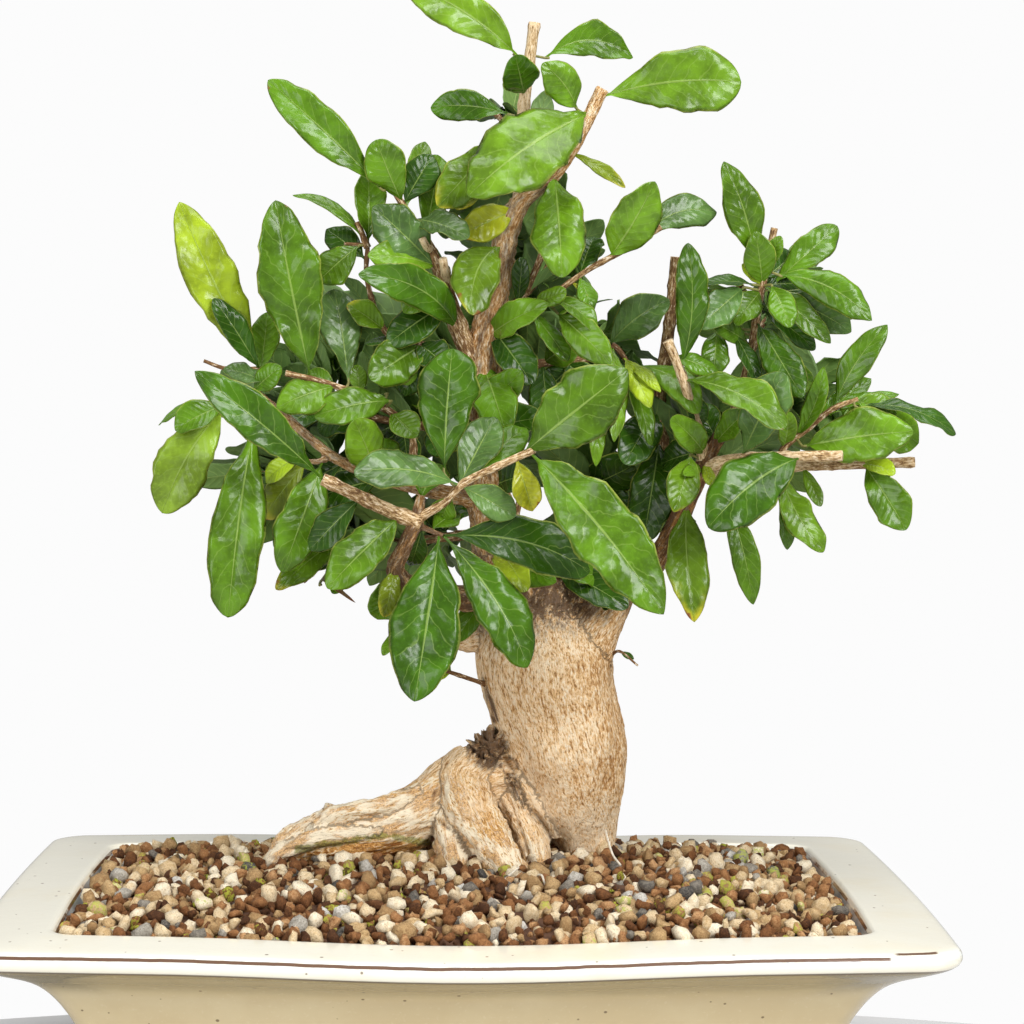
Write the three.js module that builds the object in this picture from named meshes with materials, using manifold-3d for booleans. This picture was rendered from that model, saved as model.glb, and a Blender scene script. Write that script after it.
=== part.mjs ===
// Pomegranate bonsai in a glazed tray pot.
// Millimetres, +Z up, +X to the right of the front, the front towards -Y.
// The origin is under the middle of the whole object, on the surface that the pot's feet stand on.

import * as THREE from "three";
import { mergeVertices } from "three/addons/utils/BufferGeometryUtils.js";
import Module from "manifold-3d";

const wasm = await Module();
wasm.setup();

// ---------------------------------------------------------------- driving dimensions
const GAP = 0.3; // clearance between neighbouring pieces

const POT = {
  length: 350,
  width: 240,
  height: 85,
  cornerRadius: 13,
  lipWidth: 28, // level ledge around the soil
  longSideBow: 8, // the long sides swell outwards by this much at their middle
  shortSideBow: 2.5,
  lipSag: 2.4, // and their lip hangs lower by this much there
  sagReach: 110, // to each side of the middle
  sagFrom: 60, // height where the sag begins
  sagTo: 78, // and where it is whole
  footHeight: 8,
  floorTop: 16,
  drainRadius: 10.5,
  drainOffset: 62, // from the middle, along the length
};

const SIDE_STATIONS = [-0.6, -0.36, -0.12, 0.12, 0.36, 0.6]; // points along a long side, as shares of its half

// Outer wall, from the foot line up to the lip: [how far in from the lip's edge, height].
const POT_OUTSIDE = [
  [39.5, 8],
  [39, 16],
  [38, 32],
  [36.3, 45],
  [34, 51],
  [31.3, 55.8],
  [28.5, 60],
  [25.3, 63.8],
  [21.5, 67.1],
  [17, 69.8],
  [12.5, 71.9],
  [8, 73.8],
  [3.6, 75.9],
  [1.2, 77.6],
  [0.2, 79.2],
  [0, 80.6],
  [0.3, 82.3],
  [1.8, 83.7],
  [14, 84.6],
  [28, 85],
];

// Inner wall, from the floor up past the lip.
const POT_INSIDE = [
  [45, 16],
  [43, 24],
  [41, 45],
  [38, 60],
  [34.5, 72],
  [30.5, 80],
  [28.2, 83.4],
  [26.4, 87],
];

const SOIL_EDGE_HEIGHT = 80.5;
const SOIL_EDGE_INSET = 31.6; // from the lip's outer edge
const SOIL_GAP = 0.5; // between the bed and the pot's wall
const SOIL_MOUND = 12; // rise from the edge of the bed to its middle
const SCREEN_POCKET = 3.1; // room over the pot's floor for a drain screen and its wire
const SOIL_RINGS = [0.93, 0.82, 0.68, 0.52, 0.36, 0.2]; // sizes of the mound's rings

const FOOT = { length: 40, width: 32, thickness: 13, cornerRadius: 7, fromEdge: 40.5 };

const SCREEN = { size: 35, thickness: 1, holes: 6, hole: 4.2, pitch: 5.6 };
const WIRE_RADIUS = 0.6;
const WIRE_LEG = 8.4; // the wire's legs, to each side of the drain hole's middle
const WIRE_TAIL = 17; // from the same middle to the ends of the wire
const WIRE_ROW = 2.8; // between two rows of the screen's holes
const WIRE_BEND = 1.2;

const LEAF_THICKNESS = 0.9;
const PETIOLE_WIDTH = 1.1;
const PETIOLE_SHARE = 0.07; // of the leaf's length

// ---------------------------------------------------------------- colours
const COLOUR = {
  glaze: 0xe6dcc0,
  soil: 0x7a5238,
  trunk: 0xb08f6a,
  branch: 0x7d6044,
  cutWood: 0xcfae82,
  leaf: 0x4f8a2b,
  paleLeaf: 0x84ab3c,
  screen: 0x2c2f2b,
  wire: 0x9aa09f,
};

const material = (color, roughness, metalness = 0) =>
  new THREE.MeshStandardMaterial({ color, roughness, metalness });

// ---------------------------------------------------------------- elevation
// The tree is laid out on a front elevation: places run right and up on the upright plane through
// the pot's middle, and depth slides a place along its line of sight from the drawing's eye.
const EYE = new THREE.Vector3(-12.5, -1036.8, 283);

const depthScale = (depth) => (depth - EYE.y) / -EYE.y;

function place([across, up, depth]) {
  const onPlane = new THREE.Vector3(across, 0, up);
  return onPlane.sub(EYE).multiplyScalar(depthScale(depth)).add(EYE);
}

// ---------------------------------------------------------------- solids
/** Closed surface through rings of points that run anticlockwise about the way they advance. */
function loft(rings) {
  const sides = rings[0].length;
  const last = rings.length - 1;
  const index = [];
  for (let i = 0; i < last; i++) {
    for (let k = 0; k < sides; k++) {
      const a = i * sides + k;
      const b = i * sides + ((k + 1) % sides);
      index.push(a, b, b + sides, a, b + sides, a + sides);
    }
  }
  for (let k = 1; k < sides - 1; k++) {
    index.push(0, k + 1, k);
    index.push(last * sides, last * sides + k, last * sides + k + 1);
  }
  const geometry = new THREE.BufferGeometry().setFromPoints(rings.flat());
  geometry.setIndex(index);
  return geometry;
}

function toSolid(geometry) {
  const bare = geometry.clone();
  bare.deleteAttribute("normal");
  bare.deleteAttribute("uv");
  const merged = mergeVertices(bare, 1e-3);
  return new wasm.Manifold(
    new wasm.Mesh({
      numProp: 3,
      vertProperties: merged.attributes.position.array,
      triVerts: new Uint32Array(merged.index.array),
    }),
  );
}

function toGeometry(solid) {
  const mesh = solid.getMesh();
  const positions = new Float32Array(mesh.numVert * 3);
  for (let i = 0; i < mesh.numVert; i++) {
    for (let axis = 0; axis < 3; axis++) {
      positions[3 * i + axis] = mesh.vertProperties[mesh.numProp * i + axis];
    }
  }
  const geometry = new THREE.BufferGeometry();
  geometry.setAttribute("position", new THREE.BufferAttribute(positions, 3));
  geometry.setIndex(new THREE.BufferAttribute(mesh.triVerts, 1));
  return geometry;
}

const joined = (solids) => solids.reduce((all, next) => all.add(next));

/** The largest body of a solid that a cut has left in several. */
function mainBody(solid) {
  const bodies = solid.decompose();
  return bodies.sort((a, b) => b.volume() - a.volume())[0];
}

const tree = new THREE.Group();

function addPiece(name, geometry, finish, group = tree) {
  const mesh = new THREE.Mesh(geometry, finish);
  mesh.name = name;
  group.add(mesh);
  return mesh;
}

// ---------------------------------------------------------------- pot
/** Rounded rectangle, one ring of the pot, with the swell of its sides and the sag of its lip. */
function potRing(inset, height, swell = 1) {
  const radius = Math.max(POT.cornerRadius - 0.15 * inset, 3);
  const halfLength = POT.length / 2 - inset;
  const halfWidth = POT.width / 2 - inset;
  const flatLength = halfLength - radius;
  const flatWidth = halfWidth - radius;
  const corner = (x, y, start) =>
    [0, 1, 2, 3].map((step) => {
      const angle = start + (step * Math.PI) / 6;
      return [x + radius * Math.cos(angle), y + radius * Math.sin(angle)];
    });
  const outline = [
    [halfLength, -flatWidth / 2],
    [halfLength, 0],
    [halfLength, flatWidth / 2],
    ...corner(flatLength, flatWidth, 0),
    ...SIDE_STATIONS.map((share) => [-share * flatLength, halfWidth]),
    ...corner(-flatLength, flatWidth, Math.PI / 2),
    [-halfLength, flatWidth / 2],
    [-halfLength, 0],
    [-halfLength, -flatWidth / 2],
    ...corner(-flatLength, -flatWidth, Math.PI),
    ...SIDE_STATIONS.map((share) => [share * flatLength, -halfWidth]),
    ...corner(flatLength, -flatWidth, 1.5 * Math.PI),
  ];
  return outline.map(([x, y]) => {
    const alongLength = 1 - (x / halfLength) ** 2;
    const alongWidth = 1 - (y / halfWidth) ** 2;
    const atSide = Math.min(1, Math.abs(y) / halfWidth) ** 4;
    const lip = THREE.MathUtils.smoothstep(height, POT.sagFrom, POT.sagTo);
    const reach = Math.min(1, Math.abs(x) / POT.sagReach);
    const sag = lip * POT.lipSag * Math.cos((reach * Math.PI) / 2) ** 2;
    return new THREE.Vector3(
      x + Math.sign(x) * swell * POT.shortSideBow * alongWidth * (Math.abs(x) / halfLength) ** 4,
      y + Math.sign(y) * swell * POT.longSideBow * alongLength * atSide,
      height - sag * atSide,
    );
  });
}

function footSolid(signX, signY) {
  const { length, width, thickness, cornerRadius, fromEdge } = FOOT;
  const taper = 3;
  const outline = new THREE.Shape();
  outline.moveTo(0, -width);
  outline.lineTo(0, -cornerRadius);
  outline.lineTo(-0.3 * cornerRadius, -0.3 * cornerRadius);
  outline.lineTo(-cornerRadius, 0);
  outline.lineTo(-length, 0);
  outline.lineTo(-length + taper, taper - thickness);
  outline.lineTo(-thickness - 2 * taper, -thickness);
  outline.lineTo(-thickness, -thickness - 2 * taper);
  outline.lineTo(taper - thickness, taper - width);
  const geometry = new THREE.ExtrudeGeometry(outline, {
    depth: POT.footHeight + taper,
    bevelEnabled: false,
  });
  geometry.scale(signX, signY, 1);
  if (signX * signY < 0) {
    flipFaces(geometry);
  }
  geometry.translate(signX * (POT.length / 2 - fromEdge), signY * (POT.width / 2 - fromEdge), 0);
  return toSolid(geometry);
}

function flipFaces(geometry) {
  const position = geometry.getAttribute("position");
  const corner = [0, 1, 2].map(() => new THREE.Vector3());
  for (let i = 0; i < position.count; i += 3) {
    corner.forEach((point, k) => point.fromBufferAttribute(position, i + k));
    position.setXYZ(i + 1, ...corner[2]);
    position.setXYZ(i + 2, ...corner[1]);
  }
}

function drainPlug(x) {
  const plug = new THREE.CylinderGeometry(POT.drainRadius, POT.drainRadius, 2 * POT.floorTop, 24);
  plug.rotateX(Math.PI / 2);
  plug.translate(x, 0, POT.floorTop / 2);
  return toSolid(plug);
}

function potSolid() {
  const body = toSolid(loft(POT_OUTSIDE.map(([inset, height]) => potRing(inset, height))));
  const hollow = toSolid(loft(POT_INSIDE.map(([inset, height]) => potRing(inset, height))));
  const feet = [-1, 1].flatMap((x) => [-1, 1].map((y) => footSolid(x, y)));
  const drains = [-1, 1].map((side) => drainPlug(side * POT.drainOffset));
  return joined([body, ...feet]).subtract(joined([hollow, ...drains]));
}

// ---------------------------------------------------------------- drain screens and wires
function screenGeometry(x) {
  const { size, thickness, holes, hole, pitch } = SCREEN;
  const block = (side, height, [across, along]) =>
    toSolid(new THREE.BoxGeometry(side, side, height).translate(across, along, 0));
  const spots = Array.from({ length: holes }, (_, i) => (i - (holes - 1) / 2) * pitch);
  const punch = (across, along) => block(hole, 4 * thickness, [across, along]);
  const punched = spots.flatMap((across) => spots.map((along) => punch(across, along)));
  const sheet = block(size, thickness, [0, 0]).subtract(joined(punched));
  return toGeometry(sheet).translate(x, 0, POT.floorTop + GAP + thickness / 2);
}

function wireGeometry(x) {
  const over = POT.floorTop + SCREEN.thickness + 2 * GAP + WIRE_RADIUS;
  const under = POT.footHeight - GAP - WIRE_RADIUS;
  const bend = WIRE_BEND;
  const leg = WIRE_LEG;
  const route = [
    [-WIRE_TAIL, under],
    [-leg - bend, under],
    [-leg, under + bend],
    [-leg, over - bend],
    [-leg + bend, over],
    [leg - bend, over],
    [leg, over - bend],
    [leg, under + bend],
    [leg + bend, under],
    [WIRE_TAIL, under],
  ];
  const centres = route.map(([across, up]) => new THREE.Vector3(x + across, WIRE_ROW, up));
  return loft(tubeRings(centres, centres.map(() => WIRE_RADIUS), 6));
}

// ---------------------------------------------------------------- soil
/** Height of the soil bed above the surface that the pot stands on. */
function soilHeight(x, y) {
  const alongX = Math.max(0, 1 - Math.abs(x / 147) ** 2.6);
  const alongY = Math.max(0, 1 - Math.abs(y / 96) ** 2.2);
  return SOIL_EDGE_HEIGHT + SOIL_MOUND * alongX * alongY;
}

function soilSolid(trunkMould) {
  const wall = POT_INSIDE.filter(([, height]) => height < SOIL_EDGE_HEIGHT - 4);
  const rings = wall.map(([inset, height], i) => potRing(inset + SOIL_GAP, height + (i ? 0 : GAP)));
  const edge = potRing(SOIL_EDGE_INSET, SOIL_EDGE_HEIGHT - 1.5);
  rings.push(edge);
  SOIL_RINGS.forEach((size) => {
    rings.push(
      edge.map((point) => {
        const [x, y] = [point.x * size, point.y * size];
        return new THREE.Vector3(x, y, soilHeight(x, y));
      }),
    );
  });
  const pockets = [-1, 1].map((side) => {
    const pocket = new THREE.BoxGeometry(SCREEN.size + 1, SCREEN.size + 1, 2 * SCREEN_POCKET);
    return toSolid(pocket.translate(side * POT.drainOffset, 0, POT.floorTop));
  });
  return mainBody(toSolid(loft(rings)).subtract(joined([...pockets, trunkMould])));
}

// ---------------------------------------------------------------- wood
/** Rings of a round limb along its centres, turned as little as possible from one to the next. */
function tubeRings(centres, radii, sides) {
  const tangents = centres.map((centre, i) => {
    const before = centres[Math.max(i - 1, 0)];
    const after = centres[Math.min(i + 1, centres.length - 1)];
    return after.clone().sub(before).normalize();
  });
  let first = new THREE.Vector3(0.31, 0.87, 0.38);
  return centres.map((centre, i) => {
    const tangent = tangents[i];
    first = first.addScaledVector(tangent, -first.dot(tangent)).normalize();
    const second = tangent.clone().cross(first);
    return Array.from({ length: sides }, (_, k) => {
      const angle = (2 * Math.PI * k) / sides;
      return centre
        .clone()
        .addScaledVector(first, radii[i] * Math.cos(angle))
        .addScaledVector(second, radii[i] * Math.sin(angle));
    });
  });
}

/** Smooth centre line and radii through elevation rows [across, up, depth, radius]. */
function limbCourse(rows, stepsPerRow = 2) {
  const curve = new THREE.CatmullRomCurve3(rows.map(place));
  const steps = (rows.length - 1) * stepsPerRow;
  const centres = [];
  const radii = [];
  for (let i = 0; i <= steps; i++) {
    const along = (i / steps) * (rows.length - 1);
    const row = Math.min(Math.floor(along), rows.length - 2);
    const radius = THREE.MathUtils.lerp(rows[row][3], rows[row + 1][3], along - row);
    const depth = THREE.MathUtils.lerp(rows[row][2], rows[row + 1][2], along - row);
    centres.push(curve.getPoint(i / steps));
    radii.push(radius * depthScale(depth));
  }
  return { centres, radii };
}

/** One course as a solid, grown all over, past both of its ends too. */
function limbSolid(rows, { sides = 8, grown = 0, stepsPerRow = 2 } = {}) {
  const { centres, radii } = limbCourse(rows, stepsPerRow);
  const pushOut = (end, inner) => end.add(end.clone().sub(inner).setLength(grown));
  pushOut(centres[0], centres[1]);
  pushOut(centres.at(-1), centres.at(-2));
  return toSolid(loft(tubeRings(centres, radii.map((r) => r + grown), sides)));
}

// Rows are [across, up, depth, radius] on the elevation.
const TRUNK_PARTS = [
  // bole
  [
    [48, 88, 36, 11],
    [48, 98, 36, 11.5],
    [46.5, 108, 36, 14.5],
    [44, 120, 35, 19],
    [42, 131, 34, 22],
    [39.5, 142, 33, 24.5],
    [36, 156, 32, 25.3],
    [33, 168, 31, 26.3],
    [32, 180, 30, 28],
    [34, 190, 29, 28],
    [37, 197, 29, 22],
  ],
  // shoulder towards the main stem
  [
    [22, 182, 29, 16],
    [17, 198, 28, 14],
    [14, 213, 27, 11.5],
  ],
  // shoulder towards the right limb
  [
    [46, 184, 30, 16],
    [57, 196, 30, 11],
    [65, 203.5, 29, 7.2],
  ],
  // dead stub between the two shoulders
  [
    [31, 188, 27, 9],
    [32, 200, 26, 7.5],
    [33.5, 210, 25, 5],
  ],
  // left surface root
  [
    [14, 128, 29, 13],
    [-2, 122.5, 25, 13.3],
    [-15, 114.5, 21, 12.5],
    [-30, 107.5, 18, 12],
    [-45, 105, 16, 12.2],
    [-58, 101.5, 15, 9],
    [-68, 95.5, 14, 6.5],
    [-76, 89, 13, 4],
    [-81, 82, 13, 2.6],
  ],
  // front root
  [
    [7, 129, 22, 14],
    [3, 118.5, 14, 14.5],
    [6, 108, 6, 13],
    [12, 99, -4, 11.5],
    [18, 90.5, -13, 10],
    [23, 81, -22, 8],
  ],
  // short root between the front root and the bole
  [
    [18, 125, 24, 7.5],
    [23.5, 113, 16, 6.5],
    [29, 103, 8, 6],
    [32, 94, 2, 5.2],
    [33, 84, -2, 4.5],
  ],
  // lobe beside the front root
  [
    [-1, 112, 13, 9],
    [-4, 101, 5, 8],
    [-6.5, 91, 0, 6.4],
    [-7, 84, -2, 5.5],
  ],
  // callus in the fork of the bole and the left root
  [
    [14, 131, 26, 6],
    [10, 138, 24, 6.5],
    [8, 142, 23, 3],
  ],
  // web between the short root and the bole
  [
    [15, 137, 28, 5],
    [20, 130, 26, 6.5],
    [26, 121, 25, 6.5],
    [31, 112, 26, 5.5],
    [35, 103, 28, 5],
  ],
  // roots on the far side
  [
    [48, 112, 44, 10],
    [56, 100, 58, 8],
    [66, 91, 72, 5],
    [72, 83, 80, 3],
  ],
  [
    [34, 122, 38, 13],
    [18, 107, 50, 9],
    [0, 95, 64, 6],
    [-12, 84, 74, 3.5],
  ],
];

const LARGE_TRUNK_PARTS = 7; // the first ones of the list are the thickest and get more sides

const trunkSolid = (grown = 0) =>
  joined(
    TRUNK_PARTS.map((rows, i) => {
      const sides = i < LARGE_TRUNK_PARTS ? 12 : 8;
      return limbSolid(rows, { sides, grown, stepsPerRow: 1 });
    }),
  );

// Each limb or twig: the piece that carries it, then its courses. A first course starts inside its
// carrier, and any other starts inside the first.
const LIMBS = {
  main_stem: {
    on: ["trunk_and_roots"],
    courses: [
      [
        [15, 205, 27, 11],
        [12, 222, 25, 9.4],
        [9, 240, 22, 8.6],
        [6, 262, 18, 8],
        [6, 285, 14, 7.2],
        [8.5, 302, 12, 6.2],
        [12, 318, 11, 5.2],
        [14, 330, 10, 4.8],
        [16.5, 341, 9, 4.3],
        [21, 351, 8, 4],
        [28, 357, 6, 3.2],
        [34, 362, 5, 2.9],
        [41, 372, 3, 2.7],
        [47, 384, 2, 2.7],
        [52.5, 395, 1, 2.7],
      ],
    ],
  },
  right_limb: {
    on: ["trunk_and_roots"],
    courses: [
      [
        [60, 199, 29, 6.6],
        [68, 206, 27, 5.2],
        [75.5, 213, 24, 4.6],
        [82, 225, 20, 4.3],
        [87.5, 238, 16, 3.9],
        [92.5, 249, 13, 3.6],
        [97, 258, 12, 2.9],
        [102, 265.5, 12, 2.4],
      ],
    ],
  },
  left_limb: {
    on: ["main_stem"],
    courses: [
      [
        [9, 236, 22, 4],
        [-6, 238, 14, 3.4],
        [-22, 241.5, 6, 2.9],
        [-38, 246, 0, 2.4],
        [-52, 253, -3, 2],
        [-68, 266.5, -3, 1.9],
        [-82, 277.5, -1, 1.8],
      ],
      [
        [-80, 276, -1, 1.2],
        [-79, 282, 1, 1.1],
        [-79.3, 287, 2, 0.9],
      ],
      [
        [-51, 252, -3, 1.2],
        [-61, 250.5, -5, 1.1],
        [-73, 260, -6, 1],
        [-84, 269, -5, 1],
        [-94, 273, -3, 0.9],
      ],
    ],
  },
  front_limb: {
    on: ["trunk_and_roots"],
    courses: [
      [
        [16, 197, 20, 6],
        [-4, 198, 0, 4.6],
        [-20, 201, -14, 4],
        [-27, 208, -23, 3.8],
        [-23, 218, -27, 3.1],
        [-18.5, 228, -28, 2.9],
        [-17, 237.5, -28, 1.7],
      ],
      [
        [-18, 226, -28, 1.4],
        [-13, 223.8, -30, 1.25],
        [-8, 221.8, -32, 1.2],
      ],
    ],
  },
  back_limb: {
    on: ["main_stem"],
    courses: [
      [
        [6, 268, 18, 4],
        [10, 280, 34, 3.2],
        [16, 296, 52, 2.5],
        [20, 314, 68, 1.9],
        [22, 330, 78, 1.3],
      ],
      [
        [12, 285, 42, 2],
        [-10, 294, 60, 1.6],
        [-36, 300, 74, 1.2],
      ],
      [
        [18, 300, 58, 1.8],
        [42, 300, 72, 1.4],
        [66, 296, 80, 1],
      ],
    ],
  },
  crown_stub: {
    on: ["main_stem"],
    courses: [
      [
        [21, 351, 8, 2.6],
        [20.5, 366, 9, 2.5],
        [22, 388, 9, 2.3],
        [25.8, 420, 8, 2.2],
      ],
    ],
  },
  front_cut_stub: {
    on: ["front_limb"],
    courses: [
      [
        [-19, 228, -28, 2.7],
        [-27, 230.5, -29, 2.5],
        [-40, 236.5, -31, 2.3],
        [-55, 243, -33, 2.2],
      ],
    ],
  },
  front_twig: {
    on: ["front_limb"],
    courses: [
      [
        [-17.5, 229, -28, 1.7],
        [-8, 234.5, -31, 1.5],
        [0, 242.5, -34, 1.5],
        [13, 249, -38, 1.5],
        [27, 255.5, -42, 1.5],
      ],
    ],
  },
  left_cut_twig: {
    on: ["left_limb"],
    courses: [
      [
        [-19, 241, 7, 1.9],
        [-20, 251, 5, 1.8],
        [-21, 262, 3, 1.7],
        [-31, 271, 0, 1.5],
        [-50, 279.5, -4, 1.3],
        [-69.5, 284.5, -7, 1.2],
      ],
    ],
  },
  upper_left_shoot: {
    on: ["main_stem"],
    courses: [
      [
        [6, 284, 14, 4.2],
        [-1, 298, 9, 3.8],
        [-6, 312, 6, 3.2],
        [-11, 326, 5, 2.5],
        [-16, 337, 4, 1.8],
        [-23.5, 348, 2, 1.4],
        [-33.5, 364.5, 0, 1.2],
      ],
    ],
  },
  long_right_twig: {
    on: ["main_stem"],
    courses: [
      [
        [9, 302, 12, 1.6],
        [22, 307.5, 8, 1.4],
        [33, 315, 5, 1.1],
        [47, 325, 2, 1.1],
        [62, 333.5, -1, 1.2],
        [75.5, 342, -3, 1.2],
      ],
    ],
  },
  right_stick: {
    on: ["right_limb"],
    courses: [
      [
        [83, 227, 20, 2.6],
        [80, 242, 30, 2.5],
        [76.5, 258, 35, 2.4],
        [75, 271, 36, 2.4],
        [77, 288, 36, 2.1],
        [79.5, 308, 35, 1.8],
        [82, 330, 33, 1.8],
      ],
    ],
  },
  tan_stub: {
    on: ["right_limb"],
    courses: [
      [
        [93, 250, 13, 2.2],
        [91.5, 261, 9, 1.9],
        [87.5, 274, 5, 1.7],
        [84, 285, 2, 1.4],
        [78.5, 298, -1, 1.4],
      ],
    ],
  },
  level_stub_upper: {
    on: ["right_limb"],
    courses: [
      [
        [93, 249, 13, 2.4],
        [106, 252.4, 4, 2.2],
        [126, 253.4, -5, 2.1],
        [147, 253.8, -13, 2.1],
      ],
    ],
  },
  level_stub_lower: {
    on: ["right_limb", "level_stub_upper"],
    courses: [
      [
        [91.5, 246.5, 14, 2.6],
        [108, 248.6, 17, 2.3],
        [140, 250.2, 15, 2.1],
        [175.5, 251.5, 12, 2],
      ],
    ],
  },
  right_shoot: {
    on: ["right_limb"],
    courses: [
      [
        [97, 258, 12, 1.8],
        [104, 270, 18, 1.7],
        [110, 290, 17, 1.6],
        [113, 308, 13, 1.5],
        [115.5, 322, 11, 1.4],
        [119.5, 342, 10, 1.4],
      ],
    ],
  },
  far_right_twig: {
    on: ["level_stub_lower"],
    courses: [
      [
        [121, 249.4, 16.5, 1.4],
        [125, 257.5, 12, 1.3],
        [133, 264, 8, 1.2],
        [143, 272, 5, 1.1],
        [153, 276, 3, 0.9],
      ],
    ],
  },
};

const limbJoined = (courses, grown = 0) =>
  joined(courses.map((rows) => limbSolid(rows, { grown })));

// ---------------------------------------------------------------- leaves
// A leaf: its name, the twig it grows on, its base and its tip on the elevation, its width, how far
// its upper face is tilted from the viewer towards the sky (degrees), and how far its middle is
// arched, as a share of its length.
const LEAVES = [
  ["crown_1", "crown_stub", [21, 407, 8], [-28, 438, 0], 17, 20, 0.06],
  ["crown_2", "crown_stub", [27.5, 403, 8], [62, 407, 17], 14, 30, 0.08],
  ["crown_3", "main_stem", [53.5, 390, 1], [105, 400, -4], 24, 10, 0.05],
  ["crown_4", "main_stem", [46, 385, 0], [0, 352, -26], 27, 25, 0.07],
  ["crown_5", "crown_stub", [18, 386, 9], [-15, 387, 15], 11, 35, 0.05],
  ["upper_left", "upper_left_shoot", [-31, 355, 1], [-76, 397, -8], 17, 15, 0.08],
  ["left_1", "left_limb", [-79.3, 286, 2], [-110.5, 349.5, 0], 18, 8, 0.06],
  ["left_2", "left_cut_twig", [-61.5, 284, -6], [-74, 350, -12], 24, 5, 0.06],
  ["left_3", "front_cut_stub", [-53, 245.5, -33], [-106, 281, -48], 15, 20, 0.12],
  ["left_4", "left_limb", [-85, 268, -6], [-93, 189.5, -18], 22, -8, 0.05],
  ["left_5", "left_limb", [-94, 271, -3], [-116, 229.5, -4], 20, 5, 0.06],
  ["left_6", "left_limb", [-60, 248.5, -6], [-72, 206, -14], 15, 8, 0.05],
  ["front_1", "front_limb", [-9.5, 220.5, -32], [-20, 156.5, -56], 26, -5, 0.05],
  ["front_2", "front_limb", [-7.5, 220.3, -32], [24, 171, -42], 19, 12, 0.05],
  ["front_3", "front_limb", [-6.5, 222.5, -32], [54, 206, -24], 16, 20, 0.06],
  ["front_4", "front_cut_stub", [-27, 228, -29], [-53, 205, -44], 20, 10, 0.07],
  ["front_5", "front_twig", [-2, 241.5, -34], [-44, 243.5, -52], 13, 35, 0.08],
  ["front_6", "front_twig", [24, 256.5, -41], [64, 288, -48], 25, 12, 0.06],
  ["front_7", "front_twig", [25, 252, -42], [78, 192, -64], 25, 15, 0.05],
  ["front_8", "upper_left_shoot", [-4, 294, 5], [-5, 244, -20], 22, -5, 0.06],
  ["right_1", "level_stub_upper", [128, 251, -6], [96, 226.5, -26], 23, 20, 0.06],
  ["right_2", "right_limb", [87, 232, 18], [90, 188.5, -2], 16, 5, 0.06],
  ["right_3", "tan_stub", [83.5, 287, 1], [84, 336, -6], 13, 12, 0.05],
  ["right_4", "tan_stub", [86, 283, 3], [124, 265, -22], 12, 45, 0.1],
  ["shoot_1", "right_shoot", [114, 322, 11], [97, 367.5, 4], 15, 12, 0.06],
  ["shoot_2", "right_shoot", [117, 321, 11], [142, 344.5, 18], 13, 25, 0.06],
  ["shoot_3", "right_shoot", [117, 318, 11], [158, 306.5, -4], 14, 50, 0.14],
  ["shoot_4", "right_shoot", [113.5, 312, 12], [131, 278, -10], 17, 10, 0.06],
  ["far_right_1", "far_right_twig", [144, 275, 5], [164, 305, 2], 10, 15, 0.05],
  ["far_right_2", "far_right_twig", [134, 262, 7], [173, 264, -8], 16, 20, 0.06],
  ["far_right_3", "far_right_twig", [155, 277, 3], [192.5, 263.5, -2], 10, 75, 0.14],
  ["far_right_4", "level_stub_lower", [157, 249, 14], [171, 225.5, 4], 13, 0, 0.05],
  ["back_1", "back_limb", [22, 330, 78], [16, 372, 96], 20, 150, 0.06],
  ["back_2", "back_limb", [-37, 300, 75], [-84, 306, 92], 21, 130, 0.06],
  ["back_3", "back_limb", [67, 296, 81], [108, 282, 96], 21, 130, 0.06],
];

const PALE_LEAVES = ["left_1", "left_5", "right_1", "far_right_2"];

// Places along the leaf where its section is given, as shares of its length.
const LEAF_STATIONS = [0, PETIOLE_SHARE, 0.2, 0.38, 0.58, 0.78, 0.92, 1];
const LEAF_FOLD = 0.3; // rise of each half of the blade from the midrib, as a share of its breadth

/** Half breadth of the blade at a share of its length, as a share of the widest. */
function bladeBreadth(share) {
  const along = (share - PETIOLE_SHARE) / (1 - PETIOLE_SHARE);
  return Math.max(4 * along * (1 - along), 0) ** 0.62;
}

/** Nearest place on a limb's courses to a point: that place, the limb's radius and run there. */
function nearestOnLimb(name, point) {
  let best = { distance: Infinity };
  LIMBS[name].courses.forEach((rows) => {
    const { centres, radii } = limbCourse(rows);
    for (let i = 0; i < centres.length - 1; i++) {
      const line = new THREE.Line3(centres[i], centres[i + 1]);
      const share = line.closestPointToPointParameter(point, true);
      const at = line.at(share, new THREE.Vector3());
      const distance = at.distanceTo(point);
      if (distance < best.distance) {
        const radius = THREE.MathUtils.lerp(radii[i], radii[i + 1], share);
        best = { distance, at, radius, run: line.delta(new THREE.Vector3()).normalize() };
      }
    }
  });
  return best;
}

/** Where a petiole starts on the bark: beside the limb, on the side that the leaf leaves from. */
function petioleStart(on, drawnBase, end) {
  const { at, radius, run } = nearestOnLimb(on, drawnBase);
  const outward = end.clone().sub(at);
  outward.addScaledVector(run, -outward.dot(run));
  outward.setLength(radius + GAP + PETIOLE_WIDTH / 2);
  return at.addScaledVector(run, -PETIOLE_WIDTH).add(outward);
}

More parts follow.
